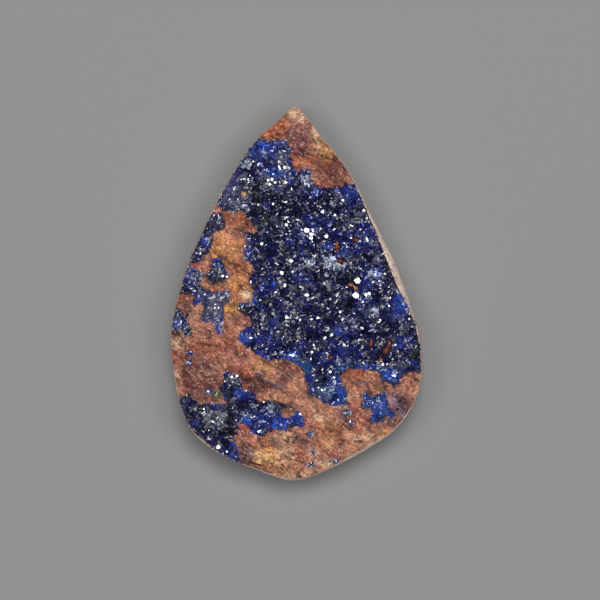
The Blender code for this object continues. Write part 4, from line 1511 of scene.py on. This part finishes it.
# Large crystals that mirror the main lamp: plan x and y, and length in millimetres.
GLINTS = [
    (306, 231, 0.75), (312.7, 231, 0.35), (311.4, 234.8, 0.6), (310.8, 238.3, 0.5), (322.4, 212, 0.5),
    (334.7, 215.5, 0.35), (329.6, 225, 0.6), (285, 219, 0.35), (326.3, 236.5, 0.5), (301, 259.6, 0.5),
    (291, 261.5, 0.5), (281.5, 273, 0.5), (357.4, 281, 0.75), (355.8, 295.3, 0.8), (285, 285.5, 0.45),
    (306.4, 295.7, 0.55), (364, 211, 0.4), (351, 238, 0.3), (273, 204, 0.35), (285.6, 202, 0.4),
    (342.7, 200.6, 0.35), (286.3, 225, 0.4), (366, 295, 0.5), (369, 294, 0.4), (298, 333, 0.45),
    (251, 338, 0.4), (362, 328, 0.45), (332, 335, 0.45), (325, 338, 0.4), (268, 181, 0.4), (272, 180, 0.45),
    (275, 183, 0.4), (270, 185, 0.35), (286, 183, 0.4), (285, 168, 0.45), (262, 244, 0.4), (218, 447, 0.5),
    (204, 409, 0.3), (232, 377, 0.4), (237, 376, 0.35), (264, 402, 0.25), (300, 414, 0.3), (290, 408, 0.25),
    (213, 421, 0.25), (209, 430, 0.2), (223, 276, 0.35), (227, 277, 0.3), (318, 318, 0.35),
    (340, 312, 0.35), (380, 320, 0.3), (395, 345, 0.3), (300, 320, 0.3), (344, 345, 0.3), (312, 352, 0.3),
    (330, 372, 0.35), (322, 390, 0.3), (258, 205, 0.3), (300, 205, 0.3), (389, 306, 0.3),
]

DRUSES = [
    Druse(
        "azurite_main_druse", thickness=0.55, seed=11,
        outline=[
            (246, 139), (268, 140), (287, 141), (289, 147), (291, 153), (293, 160), (295, 166), (298, 171),
            (301, 168), (305, 166.5), (309, 168), (312, 171), (313, 178), (315, 184), (321, 189),
            (330, 188), (338, 185), (345, 183), (352, 184), (366, 186), (385, 214), (402, 250), (430, 310),
            (440, 375), (412, 372), (403, 373), (402, 378), (399, 384), (394, 387), (388, 383.5),
            (381, 381), (378, 375), (371, 372), (362, 370), (353, 368), (346, 371.5), (341, 377),
            (346, 387), (349, 392), (347, 404), (337, 407), (327, 404), (320, 399), (311, 396), (307, 388),
            (305, 380), (305, 372), (298, 367), (292, 361.5), (285, 359), (270, 361), (262, 358),
            (254, 353), (246, 348), (242, 341), (238, 335), (241, 328), (251, 326), (252, 322), (250, 318),
            (241, 314), (236, 310), (238, 303), (247, 302), (253, 298), (252, 290), (249, 282), (248, 272),
            (252, 268), (247, 262), (242, 255), (242, 250), (246, 244), (244, 236), (246, 230), (256, 231),
            (253, 224), (247, 217), (241, 211.5), (235, 215), (229, 213), (222, 211), (218, 204),
            (212, 190), (230, 160),
        ],
        mounds=[
            (268, 163, 24, 0.55), (306, 181, 10, 0.35), (350, 196, 14, 0.25), (328, 262, 18, 0.45),
            (377, 272, 14, 0.35), (306, 300, 16, 0.4), (360, 322, 20, 0.35), (262, 335, 18, 0.3),
            (328, 388, 18, 0.55), (402, 340, 16, 0.35), (248, 251, 8, 0.35), (290, 235, 20, 0.2),
        ],
    ),
    Druse(
        "azurite_left_rim_druse", thickness=0.4, seed=12, coarse=0.8, clump_rise=0.45,
        outline=[
            (205, 212), (211, 213), (219, 212), (224, 213), (226, 217), (225, 222), (226, 227), (223, 231),
            (217, 232), (214, 236), (213, 243), (212, 248), (209, 253), (206, 256), (203, 260), (200, 263),
            (196, 263), (184, 262), (190, 236),
        ],
        mounds=[(212, 226, 10, 0.2), (203, 247, 9, 0.25)],
    ),
    Druse(
        "azurite_left_cluster", thickness=0.5, seed=13, coarse=0.85, clump_rise=0.45,
        outline=[
            (213, 259), (219, 257), (224, 261), (228, 271), (231, 275), (229, 279), (225, 282), (219, 283),
            (215, 285), (208, 282), (209, 272), (211, 266),
        ],
        mounds=[(218, 271, 9, 0.5)],
    ),
    Druse(
        "azurite_left_wall_druse", thickness=0.35, seed=14, coarse=0.8, clump_rise=0.45,
        outline=[
            (184, 267), (192, 266), (197, 268), (206, 271), (204, 277), (202, 282), (206, 288), (214, 290),
            (221, 286), (227, 289), (231, 294), (230, 299), (226, 306), (225, 312), (226, 318), (225, 327),
            (226, 333), (220, 335), (215, 331), (211, 323), (201, 321), (198, 316), (202, 309), (201, 301),
            (197, 308), (191, 304), (194, 296), (176, 293), (174, 283),
        ],
        mounds=[(190, 282, 10, 0.3), (217, 301, 12, 0.2)],
    ),
    Druse(
        "azurite_left_foot_druse", thickness=0.35, seed=15, coarse=0.8, clump_rise=0.45,
        outline=[
            (164, 308), (174, 309), (180, 308), (184, 311), (188, 314), (190, 320), (191, 326), (192, 337),
            (188, 338), (184, 336), (181, 332), (178, 331), (162, 328),
        ],
        mounds=[(181, 321, 9, 0.3)],
    ),
    Druse(
        "azurite_lower_cluster", thickness=0.5, seed=16, coarse=0.9,
        outline=[
            (180, 398), (184, 396), (188, 392), (191, 396), (197, 400), (200, 404), (214, 402), (220, 404),
            (226, 402), (222, 397), (219, 390), (222, 384), (225, 378), (223, 372), (228, 371), (233, 371),
            (237, 373), (240, 377), (243, 385), (243, 390), (247, 388), (252, 391), (256, 394), (262, 400),
            (266, 400), (268, 395), (270, 391), (272, 400), (281, 403), (286, 402), (288, 406), (286, 409),
            (282, 411), (282, 416), (288, 417), (292, 416), (295, 412), (298, 411), (303, 413), (306, 418),
            (306, 424), (304, 428), (293, 426), (288, 427), (286, 431), (277, 431), (267, 433), (262, 437),
            (254, 435), (251, 437), (249, 430), (246, 427), (240, 422), (237, 423), (238, 430), (236, 436),
            (228, 440), (238, 442), (240, 450), (240, 478), (200, 462), (182, 430), (172, 412),
        ],
        mounds=[
            (207, 414, 12, 0.9), (222, 424, 12, 0.95), (212, 437, 8, -0.5), (233, 438, 7, -0.5),
            (232, 383, 10, 0.55), (273, 410, 13, 0.65), (300, 420, 7, 0.35), (226, 452, 10, 0.35),
            (252, 403, 9, 0.3),
        ],
    ),
    Druse(
        "azurite_right_cluster", thickness=0.45, seed=17, coarse=0.8, clump_rise=0.45,
        outline=[
            (364, 394), (368, 392), (371, 395), (379, 393), (384, 391), (388, 393), (390, 403), (392, 409),
            (395, 408), (398, 404), (399, 408), (396, 413), (395, 417), (391, 419), (386, 418), (384, 422),
            (379, 424), (374, 423), (370, 420), (371, 412), (363, 408), (362, 400),
        ],
        mounds=[(378, 404, 12, 0.45)],
    ),
]

GRAINS = [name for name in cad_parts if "_grain" in name]
BRIGHT_GRAINS = ("azurite_grain_upper_left", "azurite_grain_left", "azurite_grain_by_cluster")


def dress(piece: bpy.types.Object, node: str) -> None:
    """Puts a piece on the specimen's one body in the place of a node, and logs it.

    Args:
        piece: The piece.
        node: The node that it stands for.
    """
    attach(piece, "root")
    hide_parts(node)
    top = max(corner[2] for corner in piece.bound_box) / MM
    LOG.info("%s: %d faces, %.2f mm high", piece.name, len(piece.data.polygons), top)


def main() -> None:
    """Builds the specimen and its studio."""
    logging.basicConfig(level=logging.INFO, format="%(name)s: %(message)s")
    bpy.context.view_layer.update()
    studio = Studio()
    studio.place_camera()
    studio.build_table()
    studio.light()
    dress(Slab().build(DRUSES), "sandstone_matrix")
    azurite = GlassyCrystal("azurite_glass").material()
    malachite = GlassyCrystal("malachite_silk", roughness=0.25, dust=0.1).material()
    for druse in DRUSES:
        dress(druse.build(azurite), druse.name)
    for seed, name in enumerate(GRAINS, start=30):
        if name.startswith("malachite"):
            dress(Grain(name, Tint.MALACHITE, seed).build(malachite), name)
        else:
            tint = Tint.COBALT if name in BRIGHT_GRAINS else Tint.SLATE_BLUE
            dress(Grain(name, tint, seed).build(azurite), name)


if __name__ == "__main__":
    main()
